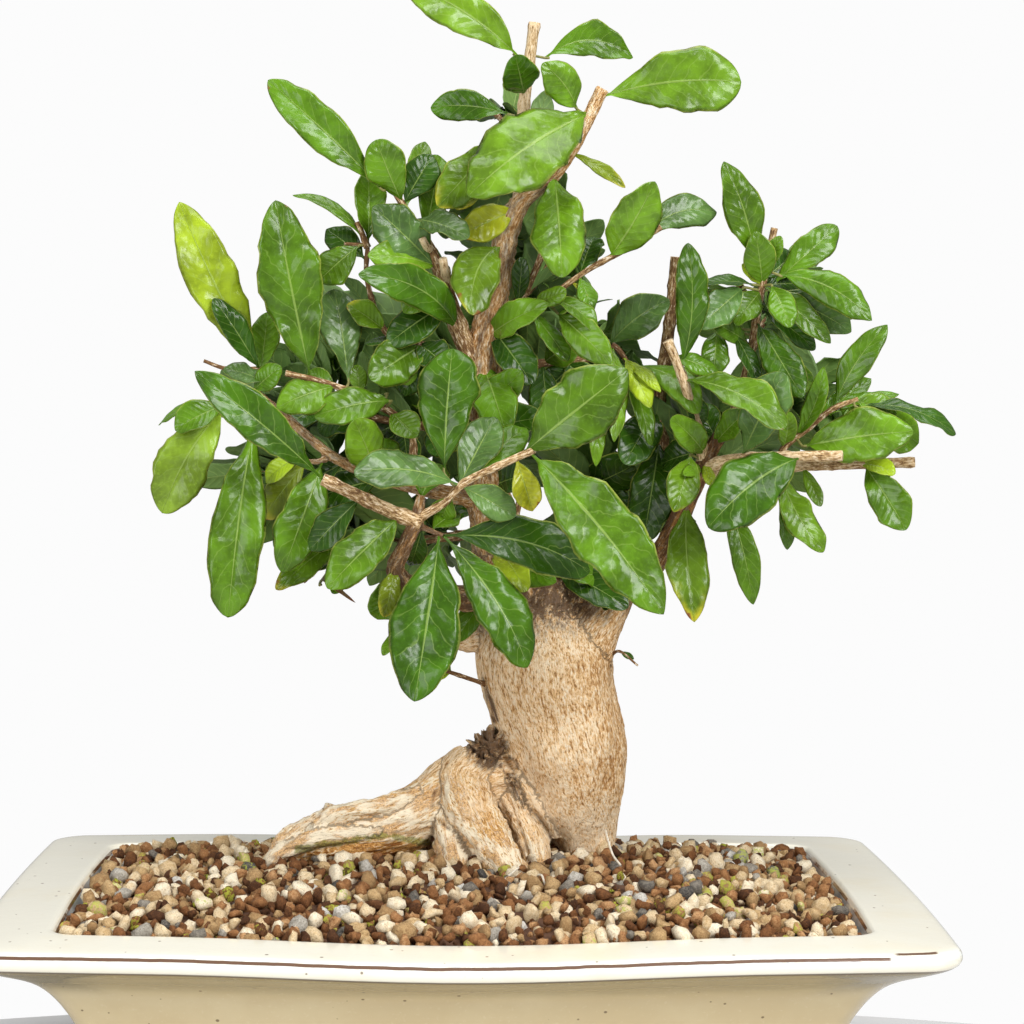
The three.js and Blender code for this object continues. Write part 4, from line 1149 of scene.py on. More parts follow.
    def mark(self, mesh: bpy.types.Mesh) -> None:
        """Stores where the bark is root-like, pale, mossy and dark; pale and dark carry painted light and
        shade too.
        """
        across, up, depth = unplace(vertex_array(mesh))
        left = fall(across, 12, 14) * fall(up, 132, 8)  # the left root
        front = fall(depth, 10, 8) * fall(up, 120, 10)  # the front roots
        facing = fall(depth, 36, 6)  # the side that looks forward
        limb = rise(up, 204, 12)  # everything above the bole
        on_right = across > 55
        rim = bump(distance_to_line(across, up, UNDERCUT), 2.0)
        low = fall(up, 99, 5) * fall(across, 4, 6) * 0.45
        shaded_edge = rise(up, 104, 20) * rise(across, 40, 14)
        # painted light: the bole is made paler towards its foot
        pale = 0.8 - 0.4 * shaded_edge + 0.35 * fall(up, 134, 30)
        pale = pale * (1 - limb) + limb * np.where(on_right, 0.0, 0.35) + 0.6 * left
        pale += 0.5 * bump(distance_to_line(across, up, ROOT_FINGER), 3.0)
        pale += 0.2 * front * fall(up, 112, 12)
        # partly the root's brown underside, partly painted shade: darker beneath the left root's overhang
        pale -= 0.4 * bump(np.hypot(across - 4, up - 122), 9) + 1.6 * self.undercut(across, up, depth)
        knot, chain, scar = self.blemishes(across, up)
        # painted shade in the deepest creases
        creases = [
            0.55 * bump(distance_to_line(across, up, line), half * 0.7)
            for line, deep, half in CREASES if deep > 1.5
        ]
        on_front = [*creases, 0.95 * knot, 0.55 * chain, 0.75 * bump(scar - SCAR[2], 0.9)]
        dark = np.maximum.reduce([
            *(mark * facing for mark in on_front),
            0.8 * bump(distance_to_line(across, up, TRUNK_EDGE), 1.6),
            # painted shade of the leaves on the top of the bole
            0.85 * rise(up, 176, 20) * fall(up, 222, 12) * np.maximum(fall(across, 62, 14), 0.6),
            limb * fall(up, 380, 20) * np.where(on_right, 0.75, 0.45),
            0.7 * limb * fall(across, -2, 6) * fall(up, 238, 6),
            0.25 * fall(across - (140 - up) * 0.2, 7, 6) * rise(up, 128, 8),
            0.3 * fall(up, 104, 6) * rise(across, 30, 6),
        ])
        store_values(mesh, "root", np.maximum(left, front))
        store_values(mesh, "pale", pale)
        store_values(mesh, "moss", np.maximum(rim * rise(across, -70, 6), low))
        store_values(mesh, "dark", dark)

    def twig_piece(
        self, name: str, courses: Iterable[Rows], straw: float, nodes: tuple[str, ...] = ()
    ) -> None:
        """One piece of round twigs with swollen joints and sawn or rounded ends.

        Args:
            name: of the piece.
            courses: rows of each twig.
            straw: how straw-coloured the bark is; 0 is brown.
            nodes: that the piece stands for.
        """
        shell, grain = Shell(), []
        for number, rows in enumerate(courses):
            spots, radii = Course(rows).sample(self.twig_step)
            centres = place(*spots.T)
            run = arc_lengths(spots)
            joint = np.abs((run + 5 * number) % self.node_distance - self.node_distance / 2)
            swelling = 1 + 0.16 * np.exp(-((joint / 1.3) ** 2))
            flare = 1 + 0.5 * np.exp(-run / 3.0)
            sides = [np.stack([run * 0.35, np.full_like(run, 3.1 * k), np.full_like(run, number + 0.5)], 1)
                     for k in range(self.twig_sides)]
            uneven = 1 + 0.07 * np.stack([value_noise(side, 29) for side in sides], 1)
            size = (radii * magnified(spots[:, 2]) * swelling * flare)[:, None] * uneven * MM
            shell.rings(tube_rings(centres, size, self.twig_sides), end_finish=1)
            angles = turns(self.twig_sides)
            along = np.broadcast_to(run[:, None] * MM + number, size.shape)
            grain.append(np.stack([size * np.cos(angles), size * np.sin(angles), along], -1).reshape(-1, 3))
        mesh = shell.mesh(name, self.twig_bark, self.cut_wood)
        amount = len(mesh.vertices)
        store_values(mesh, "grain", np.concatenate(grain))
        store_values(mesh, "pale", np.full(amount, straw))
        for key in ("root", "moss", "dark"):
            store_values(mesh, key, np.zeros(amount))
        show(add_object(name + "_wood", mesh), "branch_bark", *nodes)

    def rootlets(self) -> None:
        """Thin white roots that lie on the soil."""
        shell = Shell()
        for rows in ROOTLETS:
            spots, radii = Course(rows).sample(1.5)
            shell.rings(tube_rings(place(*spots.T), radii * MM, 8))
        white = PlainFinish("white_root", (0.80, 0.72, 0.58), 0.6).make()
        show(add_object("rootlets", shell.mesh("rootlets", white)), "branch_bark")


# ------------------------------------------------------------------ leaves
class Tone(Enum):
    """Kinds of leaf by colour, partly painted light: blade colour, how far it has yellowed, and how spotted
    it is.
    """

    # FRESH and LIGHT: partly young leaves, partly the painted glow of leaves lit from behind
    FRESH = ((0.345, 0.480, 0.018), 0.15, 0.0)
    PALE = ((0.260, 0.430, 0.030), 0.02, 0.0)
    LIGHT = ((0.138, 0.280, 0.012), 0.05, 0.0)
    MID = ((0.095, 0.212, 0.007), 0.0, 0.0)
    # RICH and DEEP: partly darker leaves, partly painted shade
    RICH = ((0.052, 0.138, 0.003), 0.0, 0.0)
    DEEP = ((0.032, 0.092, 0.004), 0.0, 0.0)
    # GREY: a painted whitish sheen of reflected light over the green
    GREY = ((0.095, 0.185, 0.040), 0.0, 0.0)
    OLIVE = ((0.170, 0.230, 0.012), 0.5, 0.35)
    TIPPED = ((0.125, 0.240, 0.010), 0.42, 0.4)
    YELLOW = ((0.480, 0.520, 0.020), 0.7, 0.7)
    DRY = ((0.150, 0.085, 0.035), 0.0, 1.3)


FRESH, PALE, LIGHT, MID, RICH, DEEP, GREY, OLIVE, TIPPED, YELLOW, DRY = Tone


@dataclass(frozen=True)
class Leaf:
    """One leaf on the elevation.

    Attributes:
        on: the twig that carries it.
        base: where the blade's stalk leaves, across and up.
        tip: across and up.
        width: of the blade.
        depth: of the tip.
        tone: kind of leaf.
        tilt: degrees that the upper face turns from the viewer towards the sky.
        arch: rise of the middle, as a share of the length.
        fold: degrees that each half of the blade rises from the midrib.
        bend: how far its middle is to the left of the way to the tip, as a share of the length.
    """

    on: str
    base: tuple[float, float]
    tip: tuple[float, float]
    width: float
    depth: float
    tone: Tone = MID
    tilt: float = 12.0
    arch: float = 0.06
    fold: float = 16.0
    bend: float = 0.0


# Leaves by cluster and by the twig that carries them. A row has the base's across and up, the
# tip's across and up, and then what comes from width on in a Leaf, down to the last unusual value.
LEAVES: dict[str, dict[str, tuple[tuple[Any, ...], ...]]] = {
    "crown": {
        "crown_stub": (
            (20, 406.5, -29, 436.5, 17, 0, LIGHT, 15, 0.06, 16, -0.05),
            (30, 406.5, 64, 407, 13, 17, MID, 12, 0.05, 16, 0.17),
            (25, 391, 18.5, 407.5, 15, -10, RICH, 5, 0.05),
            (17, 384.5, -14, 387, 12, 15, RICH, 15, 0.04, 16, -0.06),
            (12, 374, -11, 349, 15, -6, TIPPED, 15), (14, 371, -4, 348, 10, 2, OLIVE, 20),
        ),
        "main_stem": (
            (54.5, 390, 106, 398, 24.5, -4, LIGHT, 8, 0.05, 16, 0.04),
            (42.5, 387, 29, 404.5, 14, -14, LIGHT, 5, 0.06, 16, -0.05),
            (46.5, 385.5, 0.5, 353, 29.5, -26, LIGHT, 18), (15, 351, -3, 338, 14, 2, YELLOW, 10),
            (41, 370, 61.5, 357, 4.5, -4, OLIVE, 40), (36.5, 359.5, 37.3, 322, 22, -14, LIGHT, 0, 0.05),
        ),
        "long_right_twig": (
            (55.5, 329, 73, 359.5, 19, -14, LIGHT, -12), (44, 323, 50, 338, 12, 12, DEEP),
            (66, 338, 97, 348, 13, 8, GREY, 18, 0.05, 16, 0.12),
        ),
    },
    "upper_left": {
        "upper_left_shoot": (
            (-32, 355, -76.5, 397, 16.5, -8, MID, 12, 0.06, 16, -0.01),
            (-13, 324, -36, 349, 18, -4, GREY, 15), (-23, 350, -35, 374.5, 15, -8, MID, -10, 0.05, 28),
            (-23, 350, -13, 369, 14, 4, DEEP, 5), (-22, 349, -16, 374, 9, 14, LIGHT),
            (-15, 338, -11, 369, 15, 16), (-22, 345, 1, 337, 12, -10, GREY, 35),
            (-11, 326, -38, 330, 12, -10, LIGHT, 40), (-9, 322, -24, 308, 13, -3, MID, 15),
            (-6, 312, -30, 296, 14, -2, DEEP, 20),
        ),
        "left_mid": (
            (-40, 334, -67, 353, 6, 4, MID, 60, 0.1, 16, -0.05), (-38, 336, -38, 363, 12, 8),
            (-41, 334, -57, 320, 13, 0, MID, 20), (-38, 328, -54, 340, 11, 12, DEEP),
        ),
    },
    "left": {
        "left_limb": (
            (-79.8, 286, -110.5, 350, 19, 0, FRESH, 4, 0.04, 16, 0.02),
            (-80, 286, -97.5, 313, 11, -8, DEEP, 10), (-79, 286, -76.5, 308, 11, 8, LIGHT, 10),
            (-74, 279, -93.5, 286, 8, -2, GREY, 40),
            (-79.5, 268, -91.5, 189.5, 21.5, -18, MID, -4, 0.04, 16, -0.02),
            (-92, 272, -117, 230, 20, -4, PALE, 4, 0.04, 16, -0.06),
            (-93, 272, -118.5, 264, 7, 8, MID, 68, 0.1), (-92, 272, -112, 262, 11, -8, MID, 30),
            (-83, 277, -71, 287, 10, -8, MID, 20), (-35, 244, -43, 266.5, 16, -18, LIGHT, 10),
            (-55.5, 250, -70.5, 207, 18, -14, MID, 8), (-60, 251, -78, 228, 12, 6, OLIVE, 20),
            (-64, 252, -77, 242, 7, 0, FRESH, 40), (-30, 244, -58, 236, 14, 8, DEEP, 25),
            (-46, 250, -66, 238, 13, 10, DEEP, 25), (-24, 242, -34, 258, 13, -6, MID, 20),
        ),
        "left_cut_twig": (
            (-60, 284.5, -73.5, 351, 24, -12, MID, 5, 0.06, 16, 0.02),
            (-45, 281, -51, 317, 17, 6, GREY, 10), (-50, 278, -73, 271, 14, -16, LIGHT, 25, 0.08),
            (-28.5, 274, -58.5, 268, 14, -14, MID, 20, 0.08), (-50, 280, -61, 285, 6, 0, MID, 30),
            (-40, 276, -42, 288, 7, 2, LIGHT), (-30, 277, -57, 262, 15, 4, DEEP, 25),
        ),
        "left_mid": (
            (-16, 296, -37, 282.5, 17, -10, MID, 10), (-25, 299, -39, 296, 6, 2, DEEP, 60),
            (-31, 301, -46, 311, 10, 0, TIPPED, 25),
        ),
        "far_left": ((-50, 270, -72, 262, 13, 30, DEEP, 30),),
    },
    "front": {
        "front_cut_stub": (
            (-53, 246, -104.5, 285, 17, -48, RICH, 15, 0.08), (-26.5, 228, -53, 201, 18, -44, MID, 10),
            (-40, 234, -60, 216, 13, -26, DEEP, 20),
        ),
        "far_low_left": (
            (-44, 218, -73, 200.5, 10, 14, TIPPED, 30, 0.12), (-44, 220, -51, 199, 9, 34),
            (-44, 218, -66, 208, 12, 40, DEEP), (-50, 208, -62, 203, 5, 28, DRY, 40, 0.25, 45),
            (-56, 203, -42, 195.5, 2.2, 24, DRY, 20, 0.15, 45),
        ),
        "front_twig": (
            (-2, 240.5, -43, 246, 16, -52, GREY, 22, 0.07, 16, -0.07),
            (-1, 241, 20, 229.5, 12, -34, GREY, 15), (-4, 238, -9, 228, 9, -26, MID, 15),
            (21.5, 254.5, 63, 287, 26, -48, MID, 8), (25, 254, 78, 191.5, 25.5, -64, MID, 12, 0.05),
            (20, 250.5, 26.5, 231.5, 11, -38, YELLOW, 10), (-4, 240, 12, 268, 16, -20, GREY, 10),
            (2, 244, 24, 264, 13, -14, MID, 20),
        ),
        "front_limb": (
            (-10, 221, -19, 157, 27.5, -56, RICH, -5, 0.05),
            (-6, 220.5, 25, 170.5, 20, -42, RICH, 8, 0.05, 16, 0.04),
            (-6, 223, 49, 208, 20, -24, DEEP, 12, 0.05, 16, 0.06), (-24, 186, -31.5, 175, 5, -20, LIGHT),
            (-27, 209, -31, 190, 10, -30, OLIVE, 10), (-28, 210, -33.5, 189, 13, -18, MID, 5),
            (-13, 224, -2, 231, 9, -24, MID, 40), (-16, 225, -21, 210, 9, -16, DEEP, 10),
            (-17, 236, -10, 250, 13, -16, MID, 20),
        ),
        "main_stem": (
            (11, 216, 24, 200, 12, -8, FRESH, 15), (12, 206, -4, 180, 10, 4, MID, 15),
            (14, 212, 36, 204, 12, 0, MID, 20),
        ),
        "dead_stub": ((38, 209, 64, 194, 13, 4, DEEP, 15, 0.1),),
        "trunk_twig": ((-5, 169, -8, 174, 2, 0, LIGHT), (-5, 168, -10.5, 165.5, 2, 0, FRESH)),
        "trunk_sprig": ((61, 177, 66.5, 174, 2.6, 10, DEEP),),
        "right_limb": ((68, 206, 42, 206, 12, 6, MID, 20), (66, 205, 55, 193, 12, 4, DEEP, 20)),
    },
    "centre": {
        "main_stem": (
            (12, 337, 2, 307.5, 18.5, -14, TIPPED, 5, 0.06, 16, -0.13),
            (4, 300, 32, 312, 12, -12, LIGHT, 25, 0.08), (12, 304, 26, 281, 14, 2, DEEP, 10),
            (2, 290, 16.5, 260.5, 17, -10, MID, 5), (6, 272, -14, 254, 15, 2, DEEP, 10),
            (6, 280, -12, 268, 13, -4, MID, 20), (8, 262, 30, 268, 14, 0, DEEP, 20),
            (9, 268, 22, 286, 13, -2, MID, 10), (10, 240, 26, 246, 12, 4, DEEP, 15),
        ),
        "upper_left_shoot": ((-4, 298, -41.5, 323, 15.5, -20, RICH, 8, 0.06, 16, -0.11),),
        "left_mid": (
            (-18, 297, -8, 288, 13, -2, DEEP), (-26, 299, -22, 280, 13, 4, LIGHT, 20),
            (-14, 295, -24, 276, 12, 8, DEEP),
        ),
        "long_right_twig": (
            (26, 309, 40, 290, 9, -2, MID, 20), (35, 309, 56.5, 289, 13, -12, LIGHT, 15),
            (30, 312, 51, 301, 8, -6, MID, 50, 0.16), (40, 320, 49, 315, 3.5, 2, YELLOW, 40),
            (44, 322, 49, 310, 7, 0, MID, 20), (25, 310, 39, 317, 7, -4, LIGHT, 40),
        ),
        "mid_right": (
            (54.5, 298, 79, 314, 16, 16, GREY, 10, 0.06, 16, 0.05), (50, 291, 51, 249, 8, 12, LIGHT, 5),
            (57, 295, 58, 258.5, 9, 8, LIGHT, 10), (62, 290, 72.5, 257, 8, 10, MID, 15),
            (60, 292, 72, 272, 8, 2, FRESH, 20), (63, 289, 76, 278, 5, 4, FRESH, 40),
            (30, 289, 32, 262, 14, 10, DEEP, 10), (38, 290, 50, 276, 13, 14, DEEP, 15),
            (30, 289, 46, 300, 13, 12, MID, 20), (44, 291, 30, 276, 12, 20, DEEP, 10),
        ),
        "red_twig": ((20, 310, 22, 330, 7, 4, DEEP, 10),),
        "front_twig": ((-8, 246, -5, 294.5, 22.5, -24, RICH, -6, 0.05),),
        "far_low_right": (
            (46, 241, 66, 250, 16, 30, DEEP), (48, 238, 66, 232, 14, 34, DEEP, 15),
            (54, 232, 58, 214, 13, 40, DEEP, 10),
        ),
        "right_stick": ((76, 270, 62, 250, 16, 10, DEEP, 10),),
        "left_cut_twig": ((-30, 270, -18.5, 260, 11, -8, LIGHT, 20), (-24, 266, -22, 249, 11, 6, DEEP, 10)),
    },
    "right": {
        "tan_stub": (
            (86, 287, 86, 336, 13, -6, RICH, 8, 0.06, 16, -0.06), (81, 292, 99, 285, 8, 2, MID, 20),
            (87, 284, 125, 264.5, 12.5, -22, LIGHT, 38, 0.08, 16, 0.03), (87, 278, 93, 266, 9, 8, DEEP, 10),
        ),
        "right_shoot": (
            (112, 320, 90, 320, 7, 0, DEEP, 55), (108, 319, 90, 303, 13.5, -4, GREY),
            (97.5, 303, 96, 283, 11, 6, MID, 5), (103, 303, 114, 281, 6, 4, DEEP, 30),
            (110, 296, 95, 306, 8, 4, MID, 30), (107, 282, 122, 288, 9, 6, DEEP, 30),
            (111, 290, 124, 267, 11, -2, GREY, 10), (109, 286, 140, 278, 6, 24, LIGHT, 40),
            (112, 300, 136, 281, 6, 26, MID, 20), (103, 270, 86, 262, 12, 26, DEEP, 20),
        ),
        "mid_right": ((64, 288, 91, 270, 12, 0, LIGHT, 30, 0.08, 16, 0.1),),
        "level_stub_upper": (
            (131.5, 254.5, 95, 225.5, 24, -26, RICH, 10, 0.06, 16, -0.05),
            (108, 254, 124, 286, 18, -12, GREY, 10),
        ),
        "right_stick": ((76, 262, 70, 220, 18, 20, DEEP, 5),),
        "right_limb": (
            (88, 254, 81.5, 231.5, 13, -4, TIPPED, 8), (92, 250, 85, 246, 5, -2, LIGHT, 20),
            (94, 250, 96, 242, 5, 0, FRESH, 20), (87, 236, 90, 188.5, 17, -2, TIPPED, 5, 0.06, 16, -0.04),
            (94, 254, 80, 268, 11, -6, LIGHT, 15), (97, 259, 110, 271, 10, -2, MID, 20),
            (96, 256, 76, 250, 13, 24, DEEP, 20), (98, 260, 88, 276, 12, 22, DEEP, 15),
        ),
        "level_stub_lower": ((100, 242, 113, 195.5, 10.5, 6, MID, 10, 0.06, 16, 0.03),),
        "far_right_twig": ((124, 256, 126, 271, 7, 4, LIGHT, 15),),
    },
    "shoot": {
        "right_shoot": (
            (112.5, 328, 99.5, 367.5, 15, 4, MID, 8, 0.06, 16, -0.03), (115, 320, 112, 341, 12, 2, MID, 8),
            (114, 320, 107, 328, 5, 6, FRESH, 20), (116, 326, 122, 339, 7, 6, LIGHT, 10),
            (119, 320, 144, 343, 12, 18), (121, 324, 158, 306.5, 13.5, -4, MID, 18, 0.07, 16, 0.08),
            (118, 318, 150, 302, 13, 10, GREY, 15), (116, 319, 142, 297.5, 9, 4, MID, 30, 0.1),
            (118.5, 320, 126, 303.5, 11, -8, MID, 10), (114, 312, 136, 295, 8, 12, DEEP, 20),
            (114, 318, 105, 304, 11, 2, MID, 15), (112, 306, 131.5, 276.5, 14.5, -10, RICH, 10),
            (115, 320, 132, 320, 12, 20, DEEP, 25), (115, 322, 128, 332, 11, 24, DEEP, 20),
        ),
    },
    "far_right": {
        "far_right_twig": (
            (129.5, 259, 139.5, 288.5, 8, 0, MID, 10, 0.06, 16, -0.08),
            (143, 273, 164, 305, 11.5, 2, MID, 12, 0.06, 16, 0.04), (143, 272, 169, 278, 6, 6, MID, 60),
            (131.5, 257.5, 175, 263.5, 21, -8, LIGHT, 8), (147, 272, 177, 259, 18, 12, LIGHT),
            (152, 275, 168, 270, 9, 0, LIGHT, 35),
            (152, 273, 191.5, 262.5, 8.5, -2, DEEP, 60, 0.1, 16, 0.02),
            (138, 268, 158, 284, 9, 14, MID, 20),
        ),
        "level_stub_lower": (
            (156, 249, 172.5, 225, 15, 4, MID, 0, 0.06, 16, 0.02),
            (153, 251, 168, 247, 8, 6, FRESH, 30, 0.1, 35), (131, 249, 139, 234, 6, 8, LIGHT, 10),
            (123, 246, 140, 216, 12, 4, LIGHT, 8, 0.06, 16, -0.08),
            (122, 246, 126, 217, 7, 12, MID, 10, 0.06, 16, 0.03),
        ),
    },
}

# Nodes that each cluster stands for.
LEAF_NODES: dict[str, tuple[str, ...]] = {
    "crown": tuple(f"leaf_crown_{n}" for n in range(1, 6)),
    "upper_left": ("leaf_upper_left",),
    "left": ("leaf_left_1", "leaf_left_2", "leaf_left_4", "leaf_left_5", "leaf_left_6"),
    "front": ("leaf_left_3", *(f"leaf_front_{n}" for n in range(1, 8))),
    "centre": ("leaf_front_8",),
    "right": tuple(f"leaf_right_{n}" for n in range(1, 5)),
    "shoot": tuple(f"leaf_shoot_{n}" for n in range(1, 5)),
    "far_right": tuple(f"leaf_far_right_{n}" for n in range(1, 5)),
}
CLUSTERS = {
    cluster: [Leaf(on, row[:2], row[2:4], *row[4:]) for on, rows in carriers.items() for row in rows]
    for cluster, carriers in LEAVES.items()
}

RIPPLE = 9 * MM  # usual length of a wave of a leaf's edge

# Cells of the elevation, in millimetres, that show where leaves cover what is behind them.
CELL = 1.5
SCREEN_CORNER = (-130.0, 180.0)
SCREEN_CELLS = (222, 178)
CLOSING = 6
DEPTH_OF_FAR_TIPS = (14, 106)

# Places between the twigs that stay open: across, up and radius.
OPENINGS: tuple[tuple[float, float, float], ...] = (
    (-28, 446, 16), (-12, 446, 16), (-54, 362, 10.6), (98, 336, 8.7), (72, 324, 7.6), (-55, 339, 7.5),
    (6, 406, 7.5), (64, 322, 7.5), (118, 225, 6.7), (-10, 417, 6.4), (47, 400, 6.4), (56, 320, 6.4),
    (-4, 375, 6.2), (0, 411, 6.2), (70, 297, 6.2), (6, 398, 6), (102, 328, 6), (119, 216, 6),
    (144, 242, 6), (-88, 330, 5.4), (-61, 345, 5.4), (-60, 370, 5.4), (-14, 422, 5.4), (47, 357, 5.4),
    (54, 404, 5.4), (102, 204, 5.4), (-106, 230, 4.7), (-79, 206, 4.7), (-12, 380, 4.7), (2, 378, 4.7),
    (50, 352, 4.7), (143, 292, 4.7), (152, 242, 4.7), (180, 264, 4.7), (-79, 212, 4.5), (-73, 254, 4.5),
    (-43, 202, 4.5), (16, 393, 4.5), (74, 302, 4.5), (78, 334, 4.5), (82, 384, 4.5), (89, 339, 4.5),
    (96, 356, 4.5), (101, 210, 4.5), (101, 272, 4.5), (-86, 324, 4.2), (-67, 351, 4.2), (-48, 352, 4.2),
    (-43, 364, 4.2), (41, 362, 4.2), (80, 201, 4.2), (96, 327, 4.2), (100, 345, 4.2), (148, 296, 4.2),
    (-115, 261, 3.4), (-104, 278, 3.4), (-85, 320, 3.4),
)


def spread(grid: np.ndarray, cells: int) -> np.ndarray:
    """The grid with every true cell spread to those around it."""
    wide = grid.copy()
    for across in range(-cells, cells + 1):
        for up in range(-cells, cells + 1):
            if across**2 + up**2 <= cells**2 + 1:
                wide |= np.roll(grid, (across, up), (0, 1))
    return wide


@dataclass
class LeafPoints:
    """What Geometry Nodes needs to know of each leaf, one row for each."""

    rows: list[dict[str, Any]] = field(default_factory=list)

    def add(
        self, start: np.ndarray, end: np.ndarray, width: float, leaf: Leaf, facing: np.ndarray,
        dice: np.random.Generator,
    ) -> None:
        """Adds one leaf from its start to its tip.

        Args:
            start: where its stalk starts.
            end: its tip.
            width: real width of the blade, in millimetres.
            leaf: its tone, tilt, arch and fold.
            facing: direction that its upper face looks in, before the tilt.
            dice: random numbers for what varies from leaf to leaf.
        """
        length = float(np.linalg.norm(end - start))
        axis = (end - start) / length
        look = facing - axis * (facing @ axis)
        look /= np.linalg.norm(look)
        skyward = np.cross(axis, look)
        skyward *= np.sign(skyward[2] if abs(skyward[2]) > 0.35 else skyward[0]) or 1.0
        angle = math.radians(leaf.tilt)
        normal = look * math.cos(angle) + skyward * math.sin(angle)
        colour, yellowing, spots = leaf.tone.value
        tint = np.array(colour) * dice.uniform(0.82, 1.06) * dice.uniform(0.97, 1.03, 3)
        self.rows.append({
            "start": start, "axis": axis, "face": normal, "side": np.cross(axis, normal),
            "length": length, "half": width * MM / 2, "arch": leaf.arch * dice.uniform(0.8, 1.25),
            "fold": math.radians(leaf.fold * dice.uniform(0.6, 1.3)), "twist": dice.normal(0, 0.15),
            "ruffle": dice.uniform(0.8, 1.9), "ripples": dice.uniform(0.85, 1.25) * length / RIPPLE + 1.0,
            "cup": dice.uniform(0.0, 0.3), "bend": dice.normal(0, 0.006) - leaf.bend,
            "blunt": dice.uniform(0.6, 0.86), "taper": dice.uniform(0.85, 1.15),
            "curl": dice.uniform(-0.02, 0.10), "tint": tint,
            "yellowing": yellowing * dice.uniform(0.7, 1.2), "spots": spots, "seed": dice.uniform(0, 9),
        })

    def mesh(self, name: str) -> bpy.types.Mesh:
        """A mesh of loose points that carry the values."""
        mesh = bpy.data.meshes.new(name)
        mesh.from_pydata([tuple(row["start"]) for row in self.rows], [], [])
        for key in self.rows[0]:
            store_values(mesh, key, np.array([row[key] for row in self.rows]))
        return mesh


